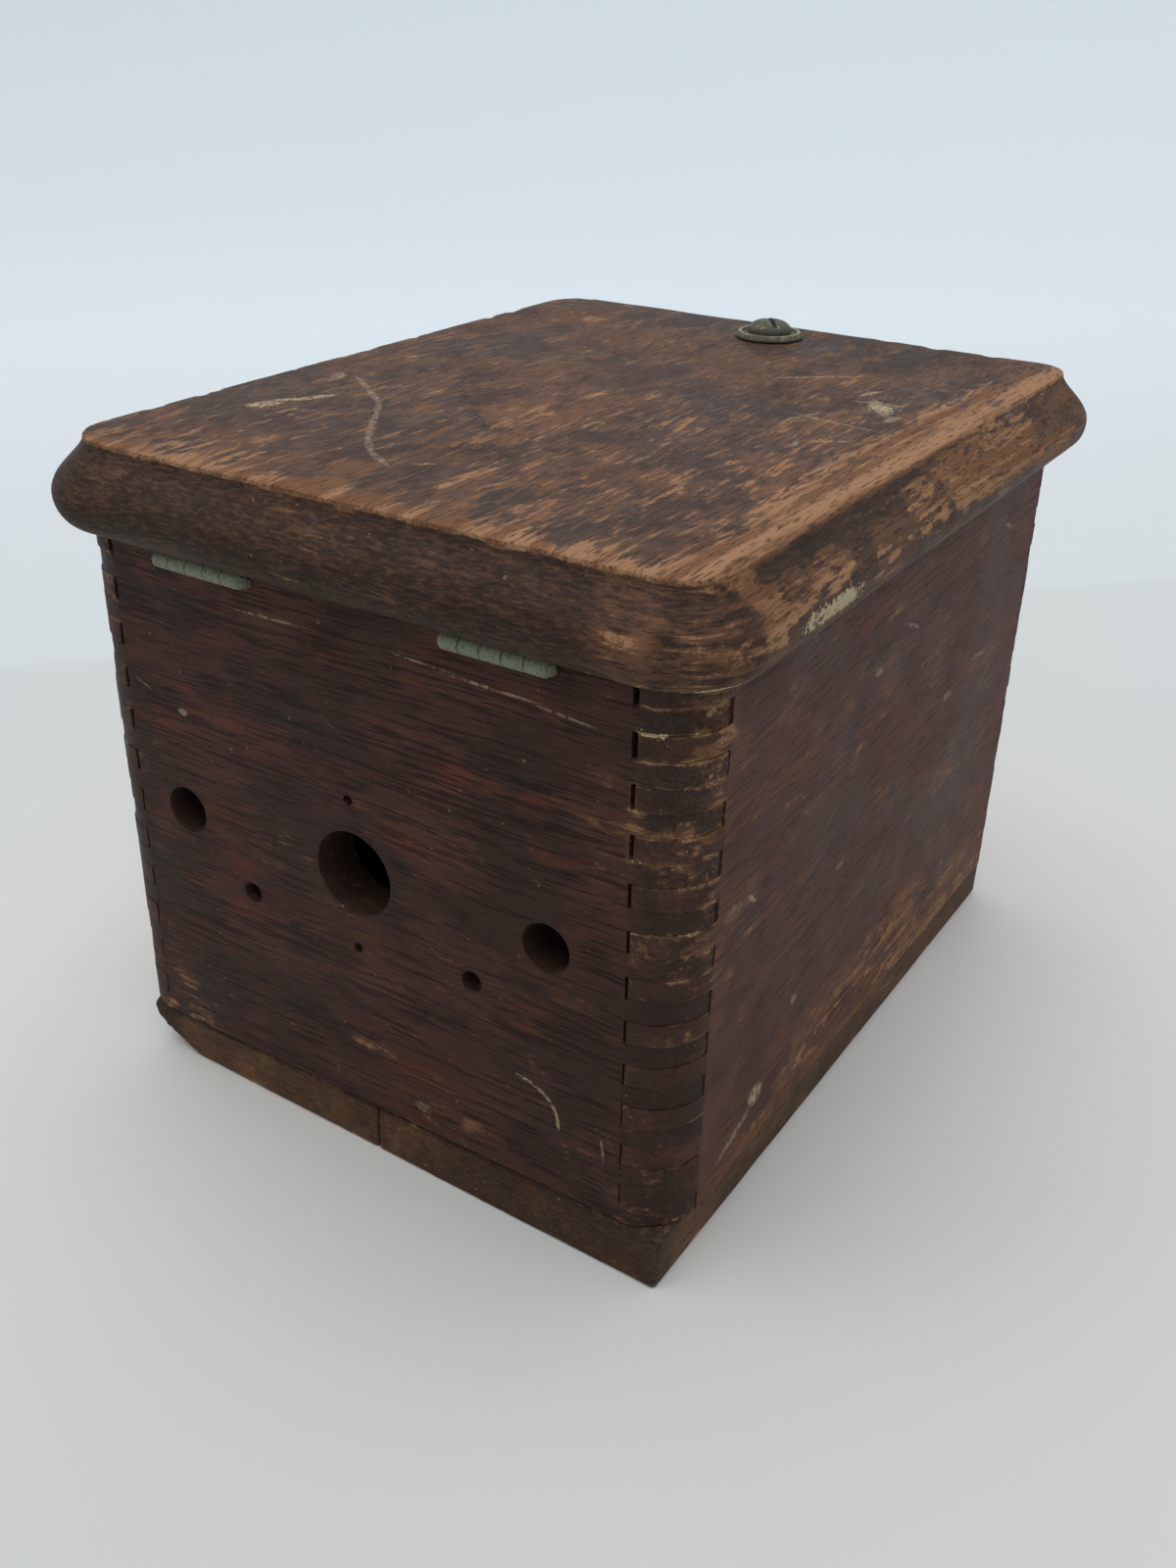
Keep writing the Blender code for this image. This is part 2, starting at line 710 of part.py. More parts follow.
def screw_collar():
    """A split ring in the screw's groove. It keeps the screw in the lid when it is undone."""
    top = COLLAR_SEAT + COLLAR_T
    profile = [
        (COLLAR_BORE_R, top),
        (COLLAR_R, top),
        (COLLAR_R, COLLAR_SEAT),
        (COLLAR_BORE_R, COLLAR_SEAT),
        (COLLAR_BORE_R, top),
    ]
    collar = turned("screw_collar", profile, 20, PARTS)
    collar.data.materials.append(new_material("screw_collar", OLD_STEEL, 0.5, 0.9))
    collar.location = (SCREW_X, SCREW_Y, LID_Z)
    cuts = cutter_set("screw_collar")
    mesh = box_mesh("split", (0, -0.6 * MM, -5 * MM), (10 * MM, 0.6 * MM, 10 * MM))
    new_cutter("collar_split", mesh, cuts).location = (SCREW_X, SCREW_Y, LID_Z)
    cut_with(collar, cuts)


def bore_lid():
    """The screw's hole, with a wider pocket below that the collar rises in."""
    pocket_top = LID_Z + COLLAR_SEAT + COLLAR_T + SCREW_TRAVEL + CLEAR
    through = rod_mesh(
        "through",
        (SCREW_X, SCREW_Y, LID_Z - 5 * MM),
        (SCREW_X, SCREW_Y, LID_TOP_Z + 5 * MM),
        SCREW_R + 0.35 * MM,
        20,
    )
    new_cutter("screw_through", through, LID_CUTS)
    pocket = rod_mesh(
        "pocket",
        (SCREW_X, SCREW_Y, LID_Z - 5 * MM),
        (SCREW_X, SCREW_Y, pocket_top),
        COLLAR_R + 0.5 * MM,
        20,
    )
    new_cutter("collar_pocket", pocket, LID_CUTS)


cover_screw()
cup_washer()
screw_collar()
bore_lid()


# ---------------------------------------------------------------- catch bracket

BRACKET_SCREW = (3.3 * MM, 1.6 * MM, 11 * MM)


def catch_bracket():
    """An angle bracket on the far wall's inner face, its flange drilled for the captive screw."""
    wall_face = BACK_Y - WALL_T
    back = wall_face - CLEAR
    top = LID_Z - BRACKET_DROP
    outline = [
        (0, 0),
        (-BRACKET_FLANGE, 0),
        (-BRACKET_FLANGE, -BRACKET_T),
        (-BRACKET_T, -BRACKET_T),
        (-BRACKET_T, -BRACKET_LEG),
        (0, -BRACKET_LEG),
    ]
    mesh = plate_mesh("catch_bracket", outline, BRACKET_W)
    bracket = new_part("catch_bracket", mesh, (OLD_BRASS, 0.55, 0.8))
    stand = Matrix(((0, 0, 1, 0), (1, 0, 0, 0), (0, 1, 0, 0), (0, 0, 0, 1)))
    bracket.matrix_world = (
        Matrix.Translation((SCREW_X, back, top))
        @ stand
        @ Matrix.Translation((0, 0, -BRACKET_W / 2))
    )
    cuts = cutter_set("catch_bracket")
    tapped = rod_mesh(
        "tapped",
        (SCREW_X, SCREW_Y, top - 10 * MM),
        (SCREW_X, SCREW_Y, top + 10 * MM),
        SCREW_R + 0.15 * MM,
        20,
    )
    new_cutter("tapped_hole", tapped, cuts)
    for side, name in ((-1, "catch_screw_left"), (1, "catch_screw_right")):
        place = (SCREW_X + side * 7.5 * MM, back - BRACKET_T - 0.1 * MM, top - 15 * MM)
        wood_screw(name, BRACKET_SCREW, place, (0, -1, 0), side * 0.6, (OLD_BRASS, 0.55, 0.8))
        screw_hole(name, BRACKET_SCREW, place, (0, -1, 0), (cuts, BACK_CUTS))
    cut_with(bracket, cuts)


catch_bracket()
cut_with(LID, LID_CUTS)
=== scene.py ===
"""Looks for the old finger-jointed oak box: worn, stained wood, verdigris hinges and a dull brass screw.

Lengths in the mesh code are in millimetres and are turned into metres as each mesh is made. The frame is
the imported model's: +Z up, the front with the hinges at -Y.
"""

import json
import math

import bmesh
import bpy
import numpy as np
from mathutils import Matrix, Vector

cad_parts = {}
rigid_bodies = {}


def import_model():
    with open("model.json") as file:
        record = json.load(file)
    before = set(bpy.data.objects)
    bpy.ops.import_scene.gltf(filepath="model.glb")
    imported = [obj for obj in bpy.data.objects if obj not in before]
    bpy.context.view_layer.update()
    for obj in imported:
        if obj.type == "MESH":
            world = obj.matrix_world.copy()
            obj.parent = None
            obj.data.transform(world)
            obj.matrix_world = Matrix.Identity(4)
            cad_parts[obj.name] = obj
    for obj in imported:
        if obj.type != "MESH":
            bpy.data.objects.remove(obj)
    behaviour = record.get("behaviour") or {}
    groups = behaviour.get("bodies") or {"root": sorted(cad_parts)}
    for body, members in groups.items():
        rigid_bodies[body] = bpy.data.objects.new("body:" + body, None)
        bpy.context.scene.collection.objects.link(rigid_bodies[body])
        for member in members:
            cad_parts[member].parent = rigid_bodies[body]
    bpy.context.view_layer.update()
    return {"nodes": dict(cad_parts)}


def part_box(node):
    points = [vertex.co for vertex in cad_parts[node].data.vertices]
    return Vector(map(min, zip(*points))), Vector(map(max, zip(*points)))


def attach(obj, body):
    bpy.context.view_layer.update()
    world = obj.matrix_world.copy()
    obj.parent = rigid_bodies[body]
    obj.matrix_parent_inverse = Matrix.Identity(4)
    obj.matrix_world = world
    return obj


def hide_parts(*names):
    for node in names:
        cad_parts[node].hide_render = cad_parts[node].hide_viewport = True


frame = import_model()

MM = 0.001


def mm_box(name):
    low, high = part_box(name)
    return np.array(low) / MM, np.array(high) / MM


FRONT_LOW, FRONT_HIGH = mm_box("front_wall")
RIGHT_HIGH = mm_box("right_wall")[1]
LID_LOW, LID_HIGH = mm_box("lid_panel")
HALF_W = RIGHT_HIGH[0]
HALF_D = -FRONT_LOW[1]
WALL_Z, WALL_TOP = FRONT_LOW[2], RIGHT_HIGH[2]
WALL_H = WALL_TOP - WALL_Z
WALL_T = FRONT_HIGH[1] - FRONT_LOW[1]
FINGERS = 24
FINGER = WALL_H / FINGERS
CORNER_R = 16.0
SLOT_GAP = 0.3
JOINT_GAP = 0.03
LID_Z, LID_T = LID_LOW[2], LID_HIGH[2] - LID_LOW[2]
LID_TOP = LID_HIGH[2]
OVERHANG = LID_HIGH[0] - HALF_W


# ---------------------------------------------------------------- numbers


def smooth(low, high, x):
    """0 below low, 1 above high, and a smooth step between."""
    t = np.clip((x - low) / (high - low), 0, 1)
    return t * t * (3 - 2 * t)


def value_noise(p, scale, seed):
    """Smooth noise from -1 to 1 at the rows of p times scale. Its waves are one or two units long there."""
    p = np.asarray(p, float) * scale
    cell = np.floor(p).astype(np.int64)
    t = p - cell
    t = t * t * (3 - 2 * t)
    total = np.zeros(p.shape[:-1])
    for corner in range(8):
        step = np.array([corner & 1, corner >> 1 & 1, corner >> 2 & 1])
        i = cell + step
        h = i[..., 0] * 73856093 ^ i[..., 1] * 19349663 ^ i[..., 2] * 83492791 ^ (seed + 1) * 40503
        h = (h ^ (h >> 13)) * 1274126177 & 0x7FFFFFFF
        h = (h ^ (h >> 15)) * 461845907 & 0x7FFFFFFF
        share = np.prod(np.where(step, t, 1 - t), axis=-1)
        total += share * ((h >> 7 & 0xFFFF) / 32767.5 - 1)
    return total


def noise_at(seed, *parts):
    """value_noise at places given part by part, each already scaled."""
    return value_noise(np.stack(np.broadcast_arrays(*parts), -1), 1, seed)


def fractal(p, seed):
    """Three layers of value_noise, each finer and weaker than the last."""
    return sum(value_noise(p, 2.03**octave, seed + 11 * octave) * 0.5**octave for octave in range(3))


def span(x, start, end, before, after):
    """1 from start to end, with soft ends that reach out by before and in by after."""
    return smooth(start - before, start + after, x) * smooth(end + before, end - after, x)


def blob(p, center, radii, turn=0.0):
    """1 inside an ellipsoid's middle, falling to 0 at its surface. turn is in degrees about Z."""
    d = p - np.array(center, float)
    a = math.radians(-turn)
    across = d[:, 0] * math.cos(a) - d[:, 1] * math.sin(a)
    along = d[:, 0] * math.sin(a) + d[:, 1] * math.cos(a)
    q = (across / radii[0]) ** 2 + (along / radii[1]) ** 2 + (d[:, 2] / radii[2]) ** 2
    return smooth(0, 1, 1 - np.sqrt(q))


def on_lid(x, y, radius_x, radius_y, depth=5):
    return (x, y, LID_TOP), (radius_x, radius_y, depth)


def on_front(x, z, radius_x, radius_z, depth=8):
    return (x, -HALF_D, WALL_Z + z), (radius_x, depth, radius_z)


def on_right(y, z, radius_y, radius_z, depth=8):
    return (HALF_W, y, WALL_Z + z), (depth, radius_y, radius_z)


def patches(p, place, rows):
    """The sum of blobs on a face, from rows of two coordinates, two radii and an amount."""
    total = np.zeros(len(p))
    for *where, amount in rows:
        total += amount * blob(p, *place(*where))
    return total


# ---------------------------------------------------------------- meshes


def new_object(name, verts, faces, smooth_angle=40):
    """A piece from points in millimetres."""
    mesh = bpy.data.meshes.new(name)
    verts = np.asarray(verts, float) * MM
    mesh.from_pydata(verts.tolist(), [], [list(map(int, f)) for f in faces])
    bm = bmesh.new()
    bm.from_mesh(mesh)
    bmesh.ops.remove_doubles(bm, verts=bm.verts, dist=2e-6)
    bmesh.ops.recalc_face_normals(bm, faces=bm.faces)
    bm.to_mesh(mesh)
    bm.free()
    obj = bpy.data.objects.new(name, mesh)
    bpy.context.scene.collection.objects.link(obj)
    shade(obj, smooth_angle)
    return obj


def shade(obj, angle):
    mesh = obj.data
    mesh.shade_smooth()
    if angle < 180:
        mesh.set_sharp_from_angle(angle=math.radians(angle))


def points_of(obj):
    co = np.zeros(len(obj.data.vertices) * 3, np.float32)
    obj.data.vertices.foreach_get("co", co)
    return co.reshape(-1, 3).astype(float) / MM


def paint(obj, **layers):
    """Named numbers on the piece's points, which its material reads."""
    for name, values in layers.items():
        layer = obj.data.attributes.new(name, "FLOAT", "POINT")
        layer.data.foreach_set("value", np.clip(values, 0, 1).astype(np.float32))


def grid_faces(rows, columns, start=0, wrap=False):
    faces = []
    for r in range(rows - 1):
        for c in range(columns if wrap else columns - 1):
            d = (c + 1) % columns
            a, b = start + r * columns, start + (r + 1) * columns
            faces.append((a + c, a + d, b + d, b + c))
    return faces


def joined(parts):
    """Several (points, faces) as one."""
    faces, start = [], 0
    for points, own in parts:
        faces += [tuple(i + start for i in face) for face in own]
        start += len(points)
    return np.vstack([points for points, own in parts]), faces


def lathe(profile, steps):
    """Points and faces of (radius, height) points turned about Z. A profile may start or end on the axis."""
    angles = np.arange(steps) * 2 * math.pi / steps
    verts = [
        (r * math.cos(a), r * math.sin(a), h) for r, h in profile for a in angles
    ]
    return np.array(verts), grid_faces(len(profile), steps, wrap=True)


def subtract(obj, cutters):
    """Cuts closed meshes out of a piece and applies the cut."""
    hold = bpy.data.collections.new("cut_" + obj.name)
    bpy.context.scene.collection.children.link(hold)
    for cutter in cutters:
        for c in list(cutter.users_collection):
            c.objects.unlink(cutter)
        hold.objects.link(cutter)
    cut = obj.modifiers.new("cut", "BOOLEAN")
    cut.operation = "DIFFERENCE"
    cut.operand_type = "COLLECTION"
    cut.collection = hold
    cut.solver = "EXACT"
    evaluated = obj.evaluated_get(bpy.context.evaluated_depsgraph_get())
    mesh = bpy.data.meshes.new_from_object(evaluated)
    obj.modifiers.clear()
    obj.data = mesh
    for cutter in list(hold.objects):
        bpy.data.objects.remove(cutter, do_unlink=True)
    bpy.data.collections.remove(hold)


def placed(verts, frame_matrix):
    m = np.array(frame_matrix)
    return verts @ m[:3, :3].T + m[:3, 3]


def rounded_block(low, high, radius, spacing, wobble=None):
    """A box surface of small squares with rounded edges. radius and wobble may be functions of the points."""
    low, high = np.array(low, float), np.array(high, float)
    size = high - low
    counts = np.maximum(2, np.ceil(size / np.array(spacing)).astype(int) + 1)
    ticks = []
    for k in range(3):
        t = np.linspace(0, 1, counts[k])
        inner = low[k] + t * size[k]
        edge = min(1.2, size[k] / 6)
        extra = [low[k] + edge * s for s in (0.25, 0.5, 1)] + [high[k] - edge * s for s in (0.25, 0.5, 1)]
        ticks.append(np.unique(np.round(np.r_[inner, extra], 5)))
    verts, faces = [], []
    for axis in range(3):
        u, v = [i for i in range(3) if i != axis]
        a, b = np.meshgrid(ticks[u], ticks[v], indexing="ij")
        for side in (low[axis], high[axis]):
            p = np.zeros((a.size, 3))
            p[:, u], p[:, v], p[:, axis] = a.ravel(), b.ravel(), side
            faces += grid_faces(len(ticks[u]), len(ticks[v]), start=sum(map(len, verts)))
            verts.append(p)
    p = np.vstack(verts)
    r = radius(p) if callable(radius) else np.full(len(p), float(radius))
    core = np.clip(p, low + r[:, None], high - r[:, None])
    d = p - core
    length = np.linalg.norm(d, axis=1)
    moved = core + d * (r / np.maximum(length, 1e-9))[:, None]
    p = np.where((length > 1e-9)[:, None], moved, p)
    if wobble:
        p = p + wobble(p)
    return p, faces


# ---------------------------------------------------------------- node materials


class Nodes:
    """A short way to write a material's node tree."""

    def __init__(self, name):
        self.material = bpy.data.materials.new(name)
        self.material.use_nodes = True
        self.tree = self.material.node_tree
        self.shader = self.tree.nodes["Principled BSDF"]
        self.coords = None

    def node(self, kind, **settings):
        made = self.tree.nodes.new(kind)
        for key, value in settings.items():
            setattr(made, key, value)
        return made

    def feed(self, socket, value):
        if isinstance(value, bpy.types.NodeSocket):
            self.tree.links.new(value, socket)
        elif value is not None:
            socket.default_value = value

    def mm(self):
        """Place on the piece in millimetres, in the box's frame."""
        if self.coords is None:
            at = self.node("ShaderNodeTexCoord")
            scale = self.node("ShaderNodeVectorMath", operation="SCALE")
            self.feed(scale.inputs[0], at.outputs["Object"])
            scale.inputs["Scale"].default_value = 1 / MM
            self.coords = scale.outputs[0]
        return self.coords

    def maths(self, operation, a, b=None, c=None, clamp=False):
        made = self.node("ShaderNodeMath", operation=operation, use_clamp=clamp)
        for socket, value in zip(made.inputs, (a, b, c)):
            self.feed(socket, value)
        return made.outputs[0]

    def times(self, a, b):
        return self.maths("MULTIPLY", a, b)

    def add(self, value, gain, base):
        """base + gain * value"""
        return self.maths("MULTIPLY_ADD", value, gain, base)

    def sway(self, noise, gain, base):
        """base, moved up and down by a noise that is 0.5 in its middle."""
        return self.add(self.maths("SUBTRACT", noise, 0.5), gain, base)

    def vector(self, operation, a, b=None, output="Vector"):
        made = self.node("ShaderNodeVectorMath", operation=operation)
        self.feed(made.inputs[0], a)
        self.feed(made.inputs[1], b)
        return made.outputs[output]

    def reorder(self, vector, order):
        """The same vector with its parts in another order, such as YXZ."""
        apart, together = self.node("ShaderNodeSeparateXYZ"), self.node("ShaderNodeCombineXYZ")
        self.feed(apart.inputs[0], vector)
        for socket, axis in zip(together.inputs, order):
            self.feed(socket, apart.outputs[axis])
        return together.outputs[0]

    def stretch(self, vector, scale, shift=(0, 0, 0)):
        made = self.node("ShaderNodeMapping")
        self.feed(made.inputs["Vector"], vector)
        made.inputs["Scale"].default_value = scale
        made.inputs["Location"].default_value = shift
        return made.outputs[0]

    def noise(self, vector, scale=1.0, detail=2.0, rough=0.5, color=False):
        made = self.node("ShaderNodeTexNoise")
        self.feed(made.inputs["Vector"], vector)
        for name, value in (("Scale", scale), ("Detail", detail), ("Roughness", rough)):
            made.inputs[name].default_value = value
        return made.outputs["Color" if color else 0]

    def step(self, value, low, high, to_low=0.0, to_high=1.0):
        made = self.node("ShaderNodeMapRange", interpolation_type="SMOOTHSTEP")
        names = ("Value", "From Min", "From Max", "To Min", "To Max")
        for name, number in zip(names, (value, low, high, to_low, to_high)):
            self.feed(made.inputs[name], number)
        return made.outputs[0]

    def mix(self, share, a, b, blend="MIX"):
        made = self.node("ShaderNodeMix", data_type="RGBA", blend_type=blend)
        self.feed(made.inputs[0], share)
        self.feed(made.inputs[6], a)
        self.feed(made.inputs[7], b)
        return made.outputs[2]

    def mix_value(self, share, a, b):
        made = self.node("ShaderNodeMix", data_type="FLOAT")
        self.feed(made.inputs[0], share)
        self.feed(made.inputs[2], a)
        self.feed(made.inputs[3], b)
        return made.outputs[0]

    def layer(self, name):
        made = self.node("ShaderNodeAttribute", attribute_name=name)
        return made.outputs["Fac"]

    def streak(self, center, radii, turn=0.0, axis="Z"):
        """A small ellipse painted at a place, 1 in its middle and 0 at its edge."""
        made = self.node("ShaderNodeMapping", vector_type="TEXTURE")
        self.feed(made.inputs["Vector"], self.mm())
        made.inputs["Location"].default_value = center
        made.inputs["Rotation"].default_value["XYZ".index(axis)] = math.radians(turn)
        made.inputs["Scale"].default_value = radii
        length = self.vector("LENGTH", made.outputs[0], output="Value")
        return self.maths("SUBTRACT", 1.0, length, clamp=True)

    def any_of(self, values):
        found = values[0]
        for value in values[1:]:
            found = self.maths("MAXIMUM", found, value)
        return found

    def bump(self, height, distance, strength):
        made = self.node("ShaderNodeBump")
        made.inputs["Distance"].default_value = distance * MM
        made.inputs["Strength"].default_value = strength
        self.feed(made.inputs["Height"], height)
        return made.outputs[0]

    def finish(self, color, roughness, normal=None, metallic=None, specular=0.5):
        self.shader.inputs["Specular IOR Level"].default_value = specular
        self.feed(self.shader.inputs["Base Color"], color)
        self.feed(self.shader.inputs["Roughness"], roughness)
        self.feed(self.shader.inputs["Normal"], normal)
        self.feed(self.shader.inputs["Metallic"], metallic)
        return self.material


def rgb(r, g, b):
    """A colour from sRGB numbers of 0 to 255."""
    return (*[((c / 255 + 0.055) / 1.055) ** 2.4 if c > 10 else c / 255 / 12.92 for c in (r, g, b)], 1.0)


def darker(color, share):
    """A colour times a share, which may also be above 1."""
    return (*[min(1.0, c * share) for c in color[:3]], 1.0)


GRIME, OLD_GREASE, DUST = rgb(52, 39, 33), rgb(30, 24, 20), rgb(104, 94, 86)
PALE_SCRAPE, PALE_MARK, SPECK = rgb(194, 177, 144), rgb(178, 159, 128), rgb(150, 128, 100)


def oak(name, order, finish, pores, flake, marks=(), gloss=0.45, specular=0.15):
    """Old stained oak. order puts the grain first: XYZ for grain along X and YXZ along Y.
    finish is its (dark, mid, red) stain colours. pores is (along, across, strength) and flake, the worn flecks,
    is (along, across, weight), with the first two in waves to the millimetre.
    marks are streaks: (center, radii, turn, axis, strength)."""
    n = Nodes(name)
    place = n.mm()
    grain = n.reorder(place, order)
    drift = n.noise(n.stretch(grain, (0.012, 0.03, 0.03)), detail=2.0, color=True)
    drift = n.vector("MULTIPLY", n.vector("SUBTRACT", drift, (0.5, 0.5, 0.5)), (0.0, 5.0, 5.0))
    grain = n.vector("ADD", grain, drift)
    end = n.layer("end")
    side_grain = n.maths("SUBTRACT", 1.0, end)

    def along(waves, across, shift, detail, rough):
        """Noise drawn out along the grain, in waves to the millimetre."""
        return n.noise(n.stretch(grain, (waves, across, across), shift), detail=detail, rough=rough)

    rings = along(0.007, 0.19, (0, 0, 0), 3.0, 0.55)
    pore = along(pores[0], pores[1], (3.7, 1.9, 8.1), 2.0, 0.6)
    pore = n.times(n.step(n.add(rings, 0.25, pore), 0.63, 0.74), n.add(side_grain, 0.85, 0.15))
    hair = along(0.12, 2.4, (9.1, 4.4, 0.3), 2.5, 0.65)
    patch = along(0.05, 0.075, (6.6, 0.4, 2.9), 5.0, 0.68)
    spot = along(0.05, 0.085, (1.3, 7.7, 5.2), 4.5, 0.66)
    cloud = n.noise(place, scale=0.024, detail=4.0, rough=0.6)
    speck = n.noise(place, scale=1.1, detail=2.0, rough=0.7)
    # End grain shows level lines in place of streaks
    level = n.noise(n.stretch(place, (0.07, 0.07, 0.85), (1.1, 5.3, 2.2)), detail=3.5, rough=0.65)
    fibre = n.noise(n.stretch(place, (0.3, 0.3, 1.7), (4.2, 0.9, 6.3)), detail=3.0, rough=0.7)

    # The stained finish
    dark, mid, red = finish
    shadow = darker(dark, 0.3)
    color = n.mix(n.step(n.add(patch, 0.8, cloud), 0.8, 1.0), dark, mid)
    color = n.mix(n.step(spot, 0.5, 0.68, 0.0, 0.65), color, red)
    color = n.mix(n.step(rings, 0.4, 0.6, 0.45, 0.0), color, dark)
    color = n.mix(n.step(hair, 0.48, 0.66, 0.0, 0.4), color, mid)
    color = n.mix(n.times(n.step(level, 0.45, 0.6), n.times(end, 0.5)), color, red)
    color = n.mix(n.times(pore, pores[2]), color, shadow)
    color = n.mix(n.step(n.sway(spot, 0.8, n.layer("dirt")), 0.05, 0.8, 0.0, 0.85), color, GRIME)
    color = n.mix(n.times(n.step(fibre, 0.5, 0.62), n.times(end, 0.6)), color, shadow)
    color = n.mix(n.times(n.step(fibre, 0.5, 0.36), n.times(end, 0.45)), color, red)

    # The bare wood under it
    flecks = n.times(n.step(along(0.2, 1.3, (5.5, 2.2, 1.1), 1.5, 0.5), 0.56, 0.66), side_grain)
    wood = n.mix(n.step(n.add(hair, 0.5, rings), 0.65, 0.85), BARE[1], BARE[0])
    wood = n.mix(n.times(flecks, 0.65), wood, darker(BARE[0], 0.25))

    # Wear: the finish goes in flecks along the grain and in ragged patches
    ragged = along(flake[0], flake[1], (2.4, 6.1, 3.3), 3.5, 0.62)
    ragged = n.mix_value(n.times(end, 0.85), ragged, level)
    chips = n.noise(place, scale=0.33, detail=4.0, rough=0.7)
    edge = n.times(n.maths("SUBTRACT", ragged, 0.5), flake[2])
    edge = n.sway(patch, 1.7, n.sway(chips, 0.6, edge))
    wear = n.maths("ADD", n.layer("wear"), edge)
    gone = n.step(wear, 0.51, 0.64)
    half_worn = tuple((a + 2 * b) / 3 for a, b in zip(mid, BARE[0]))
    color = n.mix(n.times(n.step(wear, 0.3, 0.5), 0.66), color, half_worn)
    color = n.mix(gone, color, wood)
    color = n.mix(n.times(n.layer("dirt"), 0.3), color, OLD_GREASE)

    # What lies on top: dust, pale scrapes, marks and specks
    grey = n.times(n.layer("dust"), n.step(speck, 0.3, 0.75))
    color = n.mix(n.times(grey, 0.6), color, DUST)
    pale = n.noise(place, scale=0.75, detail=4.0, rough=0.7)
    pale = n.step(n.sway(pale, 2.2, n.layer("pale")), 0.5, 0.62)
    color = n.mix(n.times(pale, 0.85), color, PALE_SCRAPE)
    if marks:
        broken = n.step(n.noise(place, scale=0.6, detail=4.0, rough=0.75), 0.4, 0.56)
        found = [n.times(n.step(n.streak(*where), 0.0, 0.5), strength) for *where, strength in marks]
        color = n.mix(n.times(n.any_of(found), broken), color, PALE_MARK)
    tiny = n.step(n.noise(place, scale=0.5, detail=1.0), 0.77, 0.8, 0.0, 0.4)
    color = n.mix(tiny, color, SPECK)

    rough = n.mix_value(gone, n.step(cloud, 0.35, 0.65, gloss - 0.05, gloss + 0.12), 0.8)
    rough = n.maths("MAXIMUM", rough, n.times(n.maths("ADD", pale, grey), 0.85), clamp=True)
    height = n.times(hair, 0.25)
    for relief, gain in ((pore, -0.6), (flecks, -0.35), (gone, -0.3), (pale, 0.4), (speck, 0.2)):
        height = n.add(relief, gain, height)
    return n.finish(color, rough, n.bump(height, 0.35, 0.6), specular=specular)


def metal(name, base, patina, dirt, coverage, roughness, metallic, scale):
    """Old metal under a crust of patina, with dirt in its hollows. scale is in waves to the millimetre."""
    n = Nodes(name)
    place = n.mm()
    crust = n.noise(place, scale=scale, detail=5.0, rough=0.65)
    fine = n.noise(place, scale=scale * 5, detail=3.0, rough=0.6)
    covered = n.step(n.add(fine, 0.3, crust), 0.82 - coverage, 0.95 - coverage)
    grime = n.step(n.noise(place, scale=scale * 1.7, detail=3.0, rough=0.7), 0.5, 0.72, 0.0, 0.75)
    color = n.mix(n.step(crust, 0.35, 0.65), base, darker(base, 0.55))
    color = n.mix(covered, color, n.mix(fine, patina, darker(patina, 0.6)))
    color = n.mix(grime, color, dirt)
    # The rub layer brightens rubbed metal; on the washer's rim it is also a painted highlight, strongest on two
    # opposite sides
    rubbed = n.times(n.layer("rub"), n.step(fine, 0.3, 0.5))
    color = n.mix(rubbed, color, darker(base, 1.9))
    rough = n.mix_value(covered, n.step(fine, 0.3, 0.7, roughness - 0.1, roughness + 0.12), 0.85)
    bare = n.maths("SUBTRACT", 1.0, n.maths("MAXIMUM", covered, grime))
    height = n.add(covered, 0.5, n.times(fine, 0.6))
    return n.finish(color, rough, n.bump(height, 0.15, 0.7), n.times(bare, metallic))


LID_SCUFF = [
    (-72.3, -27.8), (-61, -36.5), (-49.7, -45.5), (-42, -56),
    (-35, -66.5), (-28, -76), (-20.3, -84.5), (-9.7, -91.2),
]
FRONT_SCRATCH = [(49.5, 33.3), (53.5, 32.6), (57, 31), (59.6, 28.6), (61.2, 25.4), (61.7, 22)]

# Short marks: place on the face (two numbers), radii (two), turn in degrees and strength
LID_STREAKS = [
    (-2.4, -85.4, 3.6, 0.5, 35, 0.95),
    (-73, -66.5, 6.5, 3.4, 62, 1.0),
    (-67, -53, 9, 2.0, 66, 1.0),
    (-71, -59, 6, 1.6, 48, 0.9),
    (36, 57, 18, 1.2, 40, 0.55),
    (57.5, 48, 6, 1.5, 72, 0.7),
    (70, -6, 7, 0.7, 36, 0.75),
    (63, -14, 6, 0.9, -70, 0.5),
    (53, 14, 8, 1.3, 70, 0.45),
    (66, 34, 12, 2.8, -55, 0.7),
    (64, 38, 9, 1.6, 10, 0.6),
    (74, 24, 5, 2.2, 80, 0.55),
    (62, 12, 20, 0.9, -8, 0.4),
    (78, -87, 1.0, 0.8, 0, 0.9),
    (-78, -30, 5, 2.5, -60, 0.4),
]
FRONT_STREAKS = [
    (-74, 111, 4, 0.5, 22, 0.25),
    (-59.7, 106, 2.2, 1.3, 5, 0.6),
    (17.7, 7.7, 3.6, 2.2, 0, 0.3),
    (0.5, 21.3, 9, 1.0, 0, 0.28),
    (-8, 117, 5, 0.4, 30, 0.15),
    (75, 21, 0.6, 5, -8, 0.45),
    (-26, 140.9, 14, 0.45, -1, 0.5),
    (22, 141, 12, 0.4, 2, 0.45),
    (42, 139.8, 16, 0.5, 1, 0.5),
    (62, 138.4, 10, 0.45, 4, 0.45),
]
